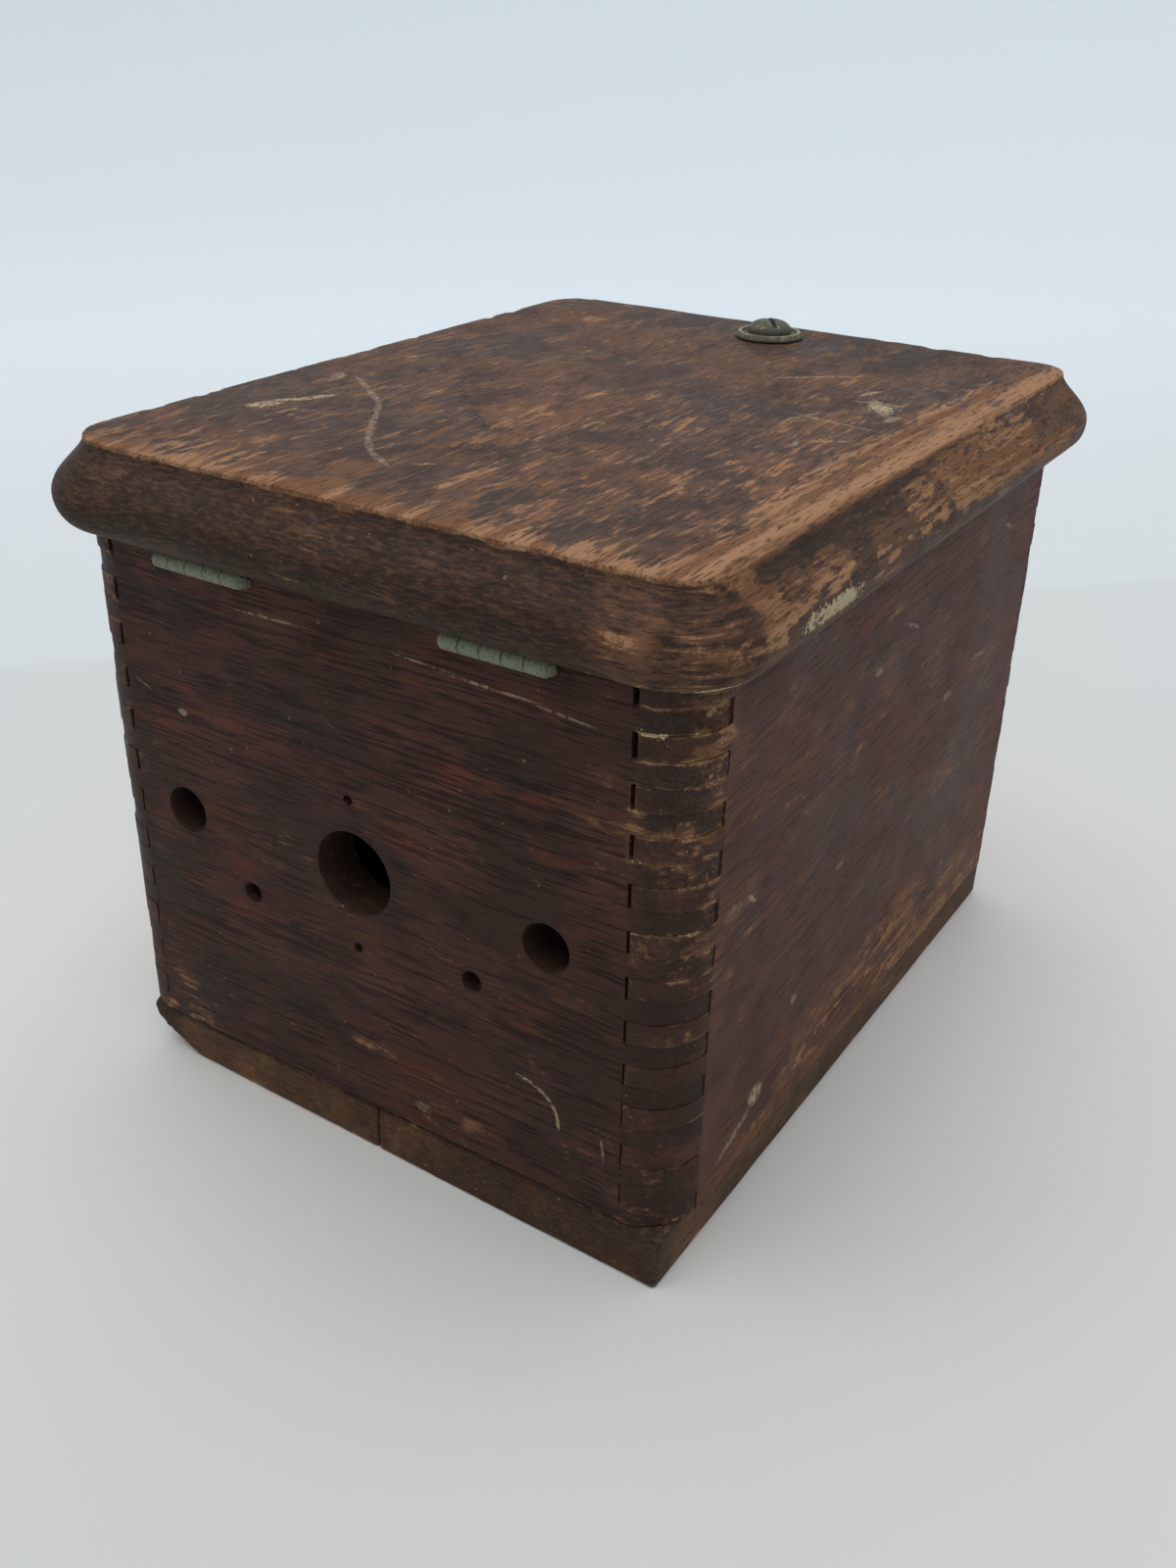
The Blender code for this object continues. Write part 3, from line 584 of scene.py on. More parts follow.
RIGHT_STREAKS = [
    (-74, 17, 5, 4, 0, 0.9),
    (-85, 11, 12, 2.0, 18, 0.45),
    (-54, 36.4, 2.5, 2, 0, 0.5),
    (-86, 85.7, 4.0, 0.9, -38, 0.7),
    (3, 127, 8, 0.8, -22, 0.45),
    (-18, 120.7, 3.4, 1.3, 0, 0.45),
    (40.5, 91.5, 4.5, 1.6, 0, 0.45),
    (-31, 67.7, 3.0, 1.4, 0, 0.4),
    (67, 96, 8, 1.2, -6, 0.35),
    (77.8, 135, 5, 1.0, -20, 0.4),
    (-96, 87, 6, 3, 0, 0.25),
]


def streaks(place, axis, rows):
    """Marks on a face, for a material: center, radii, turn, axis and strength."""
    return [(*place(*where, depth=4), turn, axis, strength) for *where, turn, strength in rows]


def curve(points, overlap, width, strength, turn_sign=1):
    """One long curved mark as rows of overlapping streaks."""
    rows = []
    for (a0, b0), (a1, b1) in zip(points, points[1:]):
        half = math.hypot(a1 - a0, b1 - b0) / 2
        turn = math.degrees(math.atan2(b1 - b0, a1 - a0))
        rows.append(((a0 + a1) / 2, (b0 + b1) / 2, half * overlap, width, turn_sign * turn, strength))
    return rows


# A turn about Y goes from Z to X, so on the front it has the other sign
LID_MARKS = streaks(on_lid, "Z", curve(LID_SCUFF, 1.7, 1.3, 0.42) + LID_STREAKS)
FRONT_MARKS = streaks(on_front, "Y", curve(FRONT_SCRATCH, 1.9, 0.7, 0.7, turn_sign=-1) + FRONT_STREAKS)
RIGHT_MARKS = streaks(on_right, "X", RIGHT_STREAKS)

STAIN_FRONT = (rgb(54, 36, 31), rgb(80, 51, 42), rgb(100, 52, 36))
STAIN_SIDE = (rgb(74, 47, 42), rgb(97, 64, 53), rgb(110, 66, 46))
STAIN_LID = (rgb(66, 47, 38), rgb(104, 76, 59), rgb(116, 80, 58))
STAIN_BASE = (rgb(74, 53, 38), rgb(106, 76, 51), rgb(102, 66, 42))
BARE = (rgb(116, 81, 57), rgb(156, 117, 87))

OAK_LID = oak("oak_lid", "YXZ", STAIN_LID, (0.2, 1.1, 0.5), (0.1, 0.6, 2.5), LID_MARKS, 0.52, 0.12)
OAK_FRONT = oak("oak_front", "XYZ", STAIN_FRONT, (0.05, 1.25, 0.72), (0.1, 0.7, 1.5), FRONT_MARKS, 0.5, 0.12)
OAK_SIDE = oak("oak_side", "YXZ", STAIN_SIDE, (0.07, 0.9, 0.45), (0.08, 0.6, 1.6), RIGHT_MARKS, 0.5, 0.1)
OAK_BACK = oak("oak_back", "XYZ", STAIN_SIDE, (0.07, 0.9, 0.55), (0.08, 0.6, 1.5), gloss=0.5)
OAK_BASE = oak("oak_base", "YXZ", STAIN_BASE, (0.14, 0.9, 0.5), (0.12, 0.6, 1.5), gloss=0.7)
VERDIGRIS = metal("verdigris", rgb(112, 104, 80), rgb(134, 138, 116), rgb(54, 48, 38), 0.36, 0.6, 0.5, 0.7)
OLD_BRASS = metal("old_brass", rgb(122, 114, 92), rgb(92, 92, 80), rgb(58, 48, 38), 0.3, 0.36, 0.9, 0.55)
OLD_STEEL = metal("old_steel", rgb(108, 98, 88), rgb(92, 58, 38), rgb(40, 30, 24), 0.2, 0.5, 0.85, 0.6)


def dress(obj, body, slot, material, *nodes):
    """Puts a piece on its body, gives it its material and hides the CAD nodes that it stands for."""
    obj.data.materials.clear()
    obj.data.materials.append(material)
    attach(obj, body)
    if nodes:
        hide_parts(*nodes)
    return obj


# ---------------------------------------------------------------- walls
# A wall is made in its own frame: x along it, y = 0 at its outer face, z up from its foot


def joint_line(half, opened, z):
    """Where the board ends and the fingers start, from the wall's middle. The joint gapes towards its top."""
    return half - WALL_T - SLOT_GAP - opened * np.clip(z / WALL_H, 0, 1) ** 1.5


def hollow(x, z, seed):
    """How far the old face lies back from its plane."""
    return 0.12 * (1 + noise_at(seed, x * 0.05, z * 0.05, 0))


def wall_board(half, opened, seed):
    """Points and faces of the board between a wall's joints. opened is for its left and its right joint."""
    across = np.linspace(-1, 1, int(2 * half / 1.4))
    up = np.unique(np.r_[np.linspace(0, WALL_H, int(WALL_H / 1.4)), 0.25, 0.6, WALL_H - 0.25, WALL_H - 0.6])
    a, z = np.meshgrid(across, up)
    x = a * np.where(a > 0, joint_line(half, opened[1], z), joint_line(half, opened[0], z))
    from_edge = np.minimum(z, WALL_H - z)
    back = np.clip(0.7 - from_edge, 0, None) ** 2 / 0.9 + hollow(x, z, seed) * smooth(0, 6, from_edge)
    outer = np.stack([x, back, z], -1).reshape(-1, 3)
    rows, cols = a.shape
    rim = list(range(cols)) + [r * cols + cols - 1 for r in range(1, rows)]
    rim += [(rows - 1) * cols + c for c in range(cols - 2, -1, -1)] + [r * cols for r in range(rows - 2, 0, -1)]
    inner = outer[rim].copy()
    inner[:, 1] = WALL_T
    ring = [len(outer) + i for i in range(len(rim))]
    faces = grid_faces(rows, cols)
    faces += list(zip(rim, rim[1:] + rim[:1], ring[1:] + ring[:1], ring))
    return np.vstack([outer, inner]), faces + [tuple(ring)]


def wall_finger(half, opened, index, side, seed):
    """Points and faces of a finger, bent round the corner, worn at its edges and a little proud or sunk.
    side is -1 for a wall's left end and 1 for its right one."""
    rng = np.random.default_rng(seed * 100 + index * 2 + (side > 0))
    height = (index + 0.5) / FINGERS
    low = index * FINGER + JOINT_GAP if index else 0.0
    high = (index + 1) * FINGER - JOINT_GAP
    levels = [0, 0.04, 0.1, 0.2, 0.35, 0.5, 0.65, 0.8, 0.9, 0.96, 1.0]
    t, level = np.meshgrid(np.linspace(0, 1, 25), levels)
    z = low + level * (high - low)
    start = joint_line(half, opened, z)
    # t runs along the flat and then round the corner, which stops at the wall's inner face
    flat = half - CORNER_R - start
    arc = CORNER_R * (math.asin((WALL_T - CORNER_R) / CORNER_R) + math.pi / 2)
    s = t * (flat + arc)
    angle = np.clip((s - flat) / CORNER_R, 0, None)
    x = np.where(s < flat, start + s, half - CORNER_R + CORNER_R * np.sin(angle))
    y = np.where(s < flat, 0, CORNER_R * (1 - np.cos(angle)))
    from_edge = np.minimum(z - low, high - z)
    worn = rng.uniform(0.15, 0.5) * (0.35 + 0.75 * height)
    proud = (rng.uniform(-0.42, 0.42) * (0.35 + 0.65 * height) - 0.12) * smooth(0.0, 0.5, t)
    p = np.stack([side * x * 0.25, y * 0.25, z * 0.25], -1)
    edge = np.clip(worn - from_edge, 0, None) ** 2 / (2 * worn)
    chip = np.clip(value_noise(p, 1.3, seed + 5) - 0.35, 0, 1) * smooth(1.6, 0.1, from_edge) * height
    out = proud + 0.1 * value_noise(p, 1, seed + 9) - edge - chip * smooth(0.05, 0.3, t)
    out = out - hollow(side * x, z, seed) * (1 - smooth(0, 0.4, t))
    face_out = np.stack([side * (x + np.sin(angle) * out), y - np.cos(angle) * out, z], -1)
    face_in = np.stack([side * (start + t * (half - 0.1 - start)), np.full_like(z, WALL_T), z], -1)
    rows, cols = t.shape
    count = rows * cols
    faces = grid_faces(rows, cols)
    faces += [tuple(i + count for i in reversed(face)) for face in faces]
    edges = [(row * cols + k, row * cols + k + 1) for k in range(cols - 1) for row in (0, rows - 1)]
    edges += [(k * cols + col, k * cols + col + cols) for k in range(rows - 1) for col in (0, cols - 1)]
    faces += [(i, j, count + j, count + i) for i, j in edges]
    return np.vstack([face_out.reshape(-1, 3), face_in.reshape(-1, 3)]), faces


def hole_cutter(center, radius, rim):
    """A bore along Y through the front wall, its mouth eased by the rim."""
    profile = [(0, -3), (radius + rim, -3), (radius + rim, -0.02)]
    for k in range(1, 6):
        a = math.pi / 2 * k / 5
        profile.append((radius + rim * (1 - math.sin(a)), rim * (1 - math.cos(a))))
    wide = radius + 0.25
    profile += [(radius, WALL_T - 0.2), (wide, WALL_T + 0.02), (wide, WALL_T + 3), (0, WALL_T + 3)]
    verts, faces = lathe(profile, 56)
    turned = np.stack([verts[:, 0], verts[:, 2], -verts[:, 1]], -1)
    return new_object("bore", turned + np.array([center[0], -HALF_D, WALL_Z + center[1]]), faces)


def block_cutter(low, high, radius=0.01):
    return new_object("block", *rounded_block(low, high, radius, (50, 50, 50)))


# Bores of the front wall: place (across, height over the wall's foot), radius and eased rim
HOLES = [
    ((-2.7, 75.4), 24.1 / 2, 0.5),
    ((-62.3, 75.4), 13.5 / 2, 0.45),
    ((57.3, 75.4), 13.5 / 2, 0.45),
    ((-39.9, 56.4), 6.1 / 2, 0.3),
    ((34.7, 56.4), 6.1 / 2, 0.3),
    ((-3.3, 96.8), 2.9 / 2, 0.2),
    ((-2.5, 52.4), 2.9 / 2, 0.2),
]


def front_cutters():
    """The bores, and the recesses in the rim for the hinges."""
    cutters = [hole_cutter(*hole) for hole in HOLES]
    for side in ("left", "right"):
        low, high = mm_box(f"hinge_{side}_wall_leaf")
        corner = (high[0] + SLOT_GAP, high[1] + SLOT_GAP, WALL_TOP + 4)
        cutters.append(block_cutter((low[0] - SLOT_GAP, -HALF_D - 4, low[2] + 2.0), corner))
    return cutters


def corner_layers(p):
    """Dirt and rubbing near the upright corners: (dirt, wear, pale, dust) at each point."""
    dx = HALF_W - np.abs(p[:, 0])
    dy = HALF_D - np.abs(p[:, 1])
    near = smooth(17.5, 14, dx) * smooth(17.5, 14, dy)
    height = (p[:, 2] - WALL_Z) / WALL_H
    layer = height * FINGERS % 1.0
    joint = smooth(0.16, 0.02, np.minimum(layer, 1 - layer))
    patchy = value_noise(p, (0.14, 0.14, 0.25), 21)
    upper = 0.2 + 0.8 * smooth(0.3, 0.8, height)
    dirt = near * (0.48 + 0.25 * value_noise(p, 0.12, 22))
    wear = near * joint * (0.46 + 0.45 * patchy) * upper + near * (0.19 + 0.15 * patchy) * upper
    wear += 0.25 * near * smooth(0.12, 0.0, height)
    right_part = smooth(6, 1.5, dx) * smooth(0, 5, dy) * (p[:, 0] > 0) * (p[:, 1] < 0)
    wear += right_part * upper * (0.14 + 0.14 * value_noise(p, (0.1, 0.1, 0.3), 24))
    scrape = value_noise(p, (0.3, 0.3, 0.55), 25) * near
    wear += 0.14 * scrape * upper
    pale = joint * (0.1 + 0.5 * value_noise(p, (0.22, 0.22, 0.2), 23)) + 0.34 * np.clip(scrape, 0, 1)
    pale = near * pale * upper
    dust = near * upper * (0.22 + 0.3 * value_noise(p, (0.2, 0.2, 0.4), 26))
    return dirt, wear, np.clip(pale, 0, 1), np.clip(dust, 0, 1)


# Worn patches: place on the face (two numbers), radii (two) and amount
FRONT_WEAR = [
    (-66, 6, 16, 14, 0.48), (-72, 14, 8, 6, 0.35), (22, 7, 22, 10, 0.34), (17.5, 8, 4, 2.6, 0.35),
    (33, 8.5, 5, 3, 0.35), (36, 10, 9, 7, 0.3), (-2, 21, 14, 4, 0.4), (-38, 57, 12, 9, 0.22),
    (-3, 97, 8, 7, 0.25), (78, 120, 8, 20, 0.1),
]
RIGHT_WEAR = [
    (-96, 69, 9, 3.5, 0.4), (15, 31, 40, 10, 0.2), (-5, 40, 40, 5, 0.15), (20, 132, 14, 5, 0.25),
    (0, 131, 8, 4, 0.15), (-102, 138, 5, 3, 0.5), (-97, 124, 6, 4, 0.3), (50, 60, 50, 7, 0.1),
]


def wall_layers(obj):
    """Paints a wall: corners, foot and rim, then the marks of the front, the right and the unseen sides."""
    p = points_of(obj)
    dirt, wear, pale, dust = corner_layers(p)
    height = p[:, 2] - WALL_Z
    inside = (np.abs(p[:, 0]) < HALF_W - WALL_T - 0.01) & (np.abs(p[:, 1]) < HALF_D - WALL_T - 0.01)
    foot = smooth(6, 0, height)
    wear += 0.12 * foot
    # Painted shade: darker in the top 4 mm, in the shade under the lid, and along the foot, in the joint with
    # the base
    dirt += 0.35 * smooth(4, 0, WALL_H - height) + 0.25 * smooth(2.0, 0, height)
    dirt += 0.5 * smooth(0.8, 0.1, height)
    # Front
    on = p[:, 1] < -HALF_D + 6
    wear += patches(p, on_front, FRONT_WEAR) * on
    # Bores: dirty inside, with grime round their mouths
    for (x, z), radius, rim in HOLES:
        r = np.hypot(p[:, 0] - x, height - z)
        bore = (np.abs(r - radius) < 0.6) & (p[:, 1] > -HALF_D + 0.3) & (p[:, 1] < -HALF_D + WALL_T + 0.5)
        wear[bore] = 0.08
        dust[bore] = 0.1
        dirt[bore] = 0.45
        ring = smooth(radius + 2.2, radius + 0.4, r) * on
        dirt += 0.35 * ring * ~bore
    # Right side
    on = p[:, 0] > HALF_W - 6
    y = p[:, 1]
    line = np.interp(y, [-119, -70, -55, -25, 0, 40, 60, 119], [6, 10, 18, 24, 30, 31, 26, 14])
    band = smooth(line + 5, line - 6, height) * smooth(-108, -70, y) * on
    wear += 0.47 * band
    bands = noise_at(27, 0, y * 0.022, height * 0.11)
    wear += (0.16 * bands + 0.05) * on * smooth(20, 34, height) * smooth(136, 110, height)
    # A dust film that grows towards the back; it also paints light, making the wall lighter towards its far end
    dust += 0.3 * smooth(10, 119, y) * on
    wear += patches(p, on_right, RIGHT_WEAR) * on
    # Left side and back: rubbed low down and round the edges
    for on, along in (((p[:, 0] < -HALF_W + 6), p[:, 1]), ((p[:, 1] > HALF_D - 6), p[:, 0])):
        low = smooth(26, 4, height + 8 * noise_at(31, along * 0.03, height * 0.02, 0))
        wear += 0.3 * low * on
    wear[inside] = np.maximum(wear[inside], 0.3)
    dust = np.maximum(dust, 0.25 * inside)
    paint(obj, wear=wear, dirt=dirt, dust=dust, pale=pale, end=0 * wear)


def wall(side, length, first, opened, place, turn, seed, material):
    """A wall with every second finger, from finger 0 or 1, at both of its ends."""
    half = length / 2
    parts = [wall_board(half, opened, seed)]
    for index in range(first, FINGERS, 2):
        parts += [wall_finger(half, opened[0], index, -1, seed), wall_finger(half, opened[1], index, 1, seed)]
    verts, faces = joined(parts)
    turned = placed(verts, Matrix.Translation((*place, WALL_Z)) @ Matrix.Rotation(math.radians(turn), 4, "Z"))
    obj = new_object(f"{side}_wall_oak", turned, faces, 35)
    if side == "front":
        subtract(obj, front_cutters())
        shade(obj, 35)
    wall_layers(obj)
    dress(obj, "box", "wall_oak", material, f"{side}_wall")


wall("front", 2 * HALF_W, 0, (1.2, 1.4), (0, -HALF_D), 0, 1, OAK_FRONT)
wall("back", 2 * HALF_W, 0, (0.8, 0.8), (0, HALF_D), 180, 2, OAK_BACK)
wall("right", 2 * HALF_D, 1, (1.4, 0.8), (HALF_W, 0), 90, 3, OAK_SIDE)
wall("left", 2 * HALF_D, 1, (0.8, 1.2), (-HALF_W, 0), -90, 4, OAK_SIDE)


def screw_place(node, axis, up):
    """A CAD screw's head radius, length and place. up is 1 where the head faces + on the axis."""
    low, high = mm_box(node)
    k = "XYZ".index(axis)
    head = (low + high) / 2
    head[k] = high[k] if up > 0 else low[k]
    direction = Vector((0, 0, 0))
    direction[k] = up
    turn = direction.to_track_quat("Z", "Y").to_matrix().to_4x4()
    return (high - low)[(k + 1) % 3] / 2, (high - low)[k], Matrix.Translation(Vector(head) * MM) @ turn


def screw_pocket(node, up):
    """Cuts the countersunk hole of a screw along Z."""
    head_r, length, place = screw_place(node, "Z", up)
    shank = head_r * 0.5
    flare = head_r + 0.2
    profile = [(0, 4), (flare, 4), (flare, -0.25), (shank + 0.45, -0.45 - (head_r - shank))]
    profile += [(shank + 0.3, -length), (0, -length)]
    v, f = lathe(profile, 36)
    cutter = new_object("pocket", v, f)
    cutter.data.transform(place)
    return cutter


# ---------------------------------------------------------------- base


BASE_LEFT_X, BASE_RIGHT_X = mm_box("base_board_left")[0][0], mm_box("base_board_right")[1][0]
BASE_FRONT_Y = -118.6
# Two facets of the near left corner: how far each reaches from the corner, and how far it is pushed in there
BROKEN_CORNER = [((19.0, 34.0, 9.5), (2.2, 4.4, 3.2)), ((9.0, 20.0, 14.5), (1.8, 2.0, 2.0))]


def base_board(name, node, seed):
    low, high = mm_box(node)
    left_board = low[0] < -50

    def radius(p):
        top_edge = smooth(high[2] - 2, high[2], p[:, 2])
        corner = left_board * smooth(9, 2, np.hypot(p[:, 0] - low[0], p[:, 1] - low[1]))
        return 1.1 + 0.9 * top_edge + 1.9 * corner + 0.35 * value_noise(p, 0.08, seed)

    def wobble(p):
        # The front end moves on to its slanting plane
        share = (p[:, 0] - BASE_LEFT_X) / (BASE_RIGHT_X - BASE_LEFT_X)
        foot = 1 - np.clip((p[:, 2] - 1) / 13, 0, 1)
        move = np.zeros_like(p)
        move[:, 1] += smooth(-60, -110, p[:, 1]) * (BASE_FRONT_Y - (-1.6 + share * 3.8) * foot - low[1])
        rough = 0.25 * value_noise(p, (0.35, 0.35, 0.6), seed + 3) + 0.18 * value_noise(p, 0.12, seed + 4)
        at_end = smooth(low[1] + 4, low[1] + 1, p[:, 1])
        move[:, 1] += np.abs(rough) * 0.9 * at_end
        if left_board:
            for reach, push in BROKEN_CORNER:
                inside = np.clip(1.0 - ((p - low) / reach).sum(1), 0, None)
                move += inside[:, None] * np.array(push)
        return move

    v, f = rounded_block(low, high, radius, (2.5, 3.0, 1.4), wobble)
    obj = new_object(name, np.clip(v, low, high), f, 50)
    screws = [f"base_screw_{number}" for number in range(1, 9)]
    subtract(obj, [screw_pocket(screw, -1) for screw in screws if low[0] < mm_box(screw)[0][0] < high[0]])
    shade(obj, 50)
    p = points_of(obj)
    edge = smooth(3, 0.5, np.minimum(p[:, 2] - low[2], high[2] - p[:, 2]))
    wear = 0.1 + 0.14 * value_noise(p, 0.06, seed + 8) + 0.22 * edge
    dirt = 0.05 + 0.12 * smooth(-112, -118, p[:, 1])
    dirt += 0.45 * smooth(-30, 50, p[:, 0]) * smooth(-110, -116, p[:, 1])
    # Painted shade: darker along the board's top, in the joint where the walls stand on it
    dirt += 0.8 * smooth(high[2] - 2.4, high[2] - 0.8, p[:, 2])
    if left_board:
        dirt += 0.6 * smooth(16, 5, np.hypot(p[:, 0] - low[0], p[:, 1] - low[1]))
    dust = 0.4 * smooth(HALF_W - 6, HALF_W - 2, p[:, 0]) + 0.15
    dust = np.where(p[:, 2] < low[2] + 0.5, 0.2, dust)
    end = smooth(low[1] + 6, low[1] + 3, p[:, 1])
    paint(obj, wear=wear, dirt=dirt, dust=dust, pale=0 * wear, end=end)
    return dress(obj, "box", "base_oak", OAK_BASE, node)


base_board("base_left_oak", "base_board_left", 41)
base_board("base_right_oak", "base_board_right", 51)


# ---------------------------------------------------------------- lid


LID_FILLET, NOSE_H, LIP, OGEE_POWER = 0.7, 8.0, 3.7, 0.84
# Corner radii of the arris: front right, back right, back left, front left
ARRIS_R = (13.0, 11.5, 14.0, 15.5)
# Worn and dirty patches of the top: place (two numbers), radii (two) and amount
LID_WEAR = [
    (-12, -47, 30, 17, 0.22), (-2, -30, 16, 9, 0.15), (45, -60, 10, 14, 0.16), (20, -5, 14, 22, 0.16),
    (55, -36, 9, 12, 0.16), (-20, 15, 20, 16, 0.14), (-62, 82, 20, 24, 0.14), (-72, -106, 20, 10, 0.2),
    (-38, -104, 18, 6, 0.1), (66, 24, 10, 16, 0.2),
]
LID_DIRT = [
    (-4, -68, 34, 15, 0.6), (-92, -50, 12, 50, 0.5), (0, 112, 110, 34, 0.45), (50, 92, 34, 30, 0.35),
    (62, -88, 26, 34, 0.35), (48, 30, 26, 34, 0.25),
]
# Worn lengths of the right moulding: from y to y, from one height to another, and amount
MOULDING_WEAR = [
    (-108, -96, 6, 23, 0.3),
    (-104, -62, 9.5, 18.5, 0.42),
    (-28, 20, 9, 20, 0.36),
    (0, 70, 8, 21.5, 0.5),
    (60, 100, 6, 12, 0.3),
    (20, 66, 6.5, 16, 0.25),
    (-60, -40, 8, 13, 0.12),
]


def lid_profile():
    """(offset past the walls, height above the underside), from the arris down to the lip."""
    arris = [(-0.7, 0), (-0.35, 0.05), (-0.1, 0.18), (0.05, 0.42), (0.1, 0.75)]
    points = [(out, LID_T - down) for out, down in arris]
    drop = LID_T - LID_FILLET - NOSE_H
    for i in range(2, 27):
        share = i / 26
        out = OVERHANG * (1 - math.cos(math.pi * share**OGEE_POWER)) / 2
        points.append((max(out, 0.12), LID_T - LID_FILLET - drop * share))
    for i in range(1, 15):
        angle = math.pi / 2 * i / 14
        points.append((LIP + (OVERHANG - LIP) * math.cos(angle), NOSE_H * (1 - math.sin(angle))))
    return points


def outline(out, arc_steps=22, spacing=1.6):
    """The lid's plan at an offset past the walls, as points that match from one offset to the next."""
    signs = [(1, -1), (1, 1), (-1, 1), (-1, -1)]
    arcs = []
    for (sx, sy), start, radius in zip(signs, (-90, 0, 90, 180), ARRIS_R):
        turns = [math.radians(start + 90 * i / arc_steps) for i in range(arc_steps + 1)]
        cx, cy = sx * (HALF_W - radius), sy * (HALF_D - radius)
        arcs.append([(cx + (radius + out) * math.cos(a), cy + (radius + out) * math.sin(a)) for a in turns])
    points = []
    for k, arc in enumerate(arcs):
        steps = int((HALF_D if k % 2 == 0 else HALF_W) * 1.8 / spacing)
        (x, y), (end_x, end_y) = arc[-1], arcs[(k + 1) % 4][0]
        points += arc
        points += [(x + (end_x - x) * i / steps, y + (end_y - y) * i / steps) for i in range(1, steps)]
    return np.array(points)


def lid_points():
    """Points and faces of the lid: closed rings from the middle of the top, over the edge, to the underside."""
    profile = lid_profile()
    edge, lip = outline(profile[0][0]), outline(profile[-1][0])
    n = len(edge)
    rings = [np.c_[edge * share, np.full(n, LID_T)] for share in np.r_[0.015, np.linspace(0.04, 1, 56)[:-1]]]
    rings += [np.c_[outline(out), np.full(n, height)] for out, height in profile]
    rings += [np.c_[lip * share, np.zeros(n)] for share in (0.98, 0.9, 0.6, 0.3, 0.015)]
    verts = np.vstack(rings)
    faces = grid_faces(len(rings), n, wrap=True)
    faces += [tuple(range(n)), tuple(range(len(verts) - n, len(verts)))]

    # Small dents and rubbing, always inwards
    xy, h = verts[:, :2], verts[:, 2]
    body = np.clip(np.abs(xy) - np.array([HALF_W - 14, HALF_D - 14]), 0, None)
    away = np.hypot(body[:, 0], body[:, 1])
    direction = body * np.sign(xy) / np.maximum(away, 1e-6)[:, None]
    side = smooth(10, 14, away)
    wave = 0.18 * (1 + fractal(verts * (0.05, 0.05, 0.1), 61)) + 0.1 * (1 + value_noise(verts, 0.3, 62))
    arris = smooth(1.6, 0.0, np.abs(h - (LID_T - 0.4))) * side
    dent = np.clip(fractal(verts * (0.16, 0.16, 0.3), 63) - 0.35, 0, 1) * 0.9 * arris
    verts[:, :2] -= direction * (side * (wave * 0.6) + dent)[:, None]
    top = smooth(LID_T - 0.6, LID_T, h)
    sag = 0.12 * (1 + value_noise(verts, 0.035, 64))
    sag += 0.25 * smooth(9, 13.5, away) * (0.6 + 0.4 * value_noise(verts, 0.1, 65))
    verts[:, 2] += LID_Z - top * sag - dent * 0.6
    return verts, faces


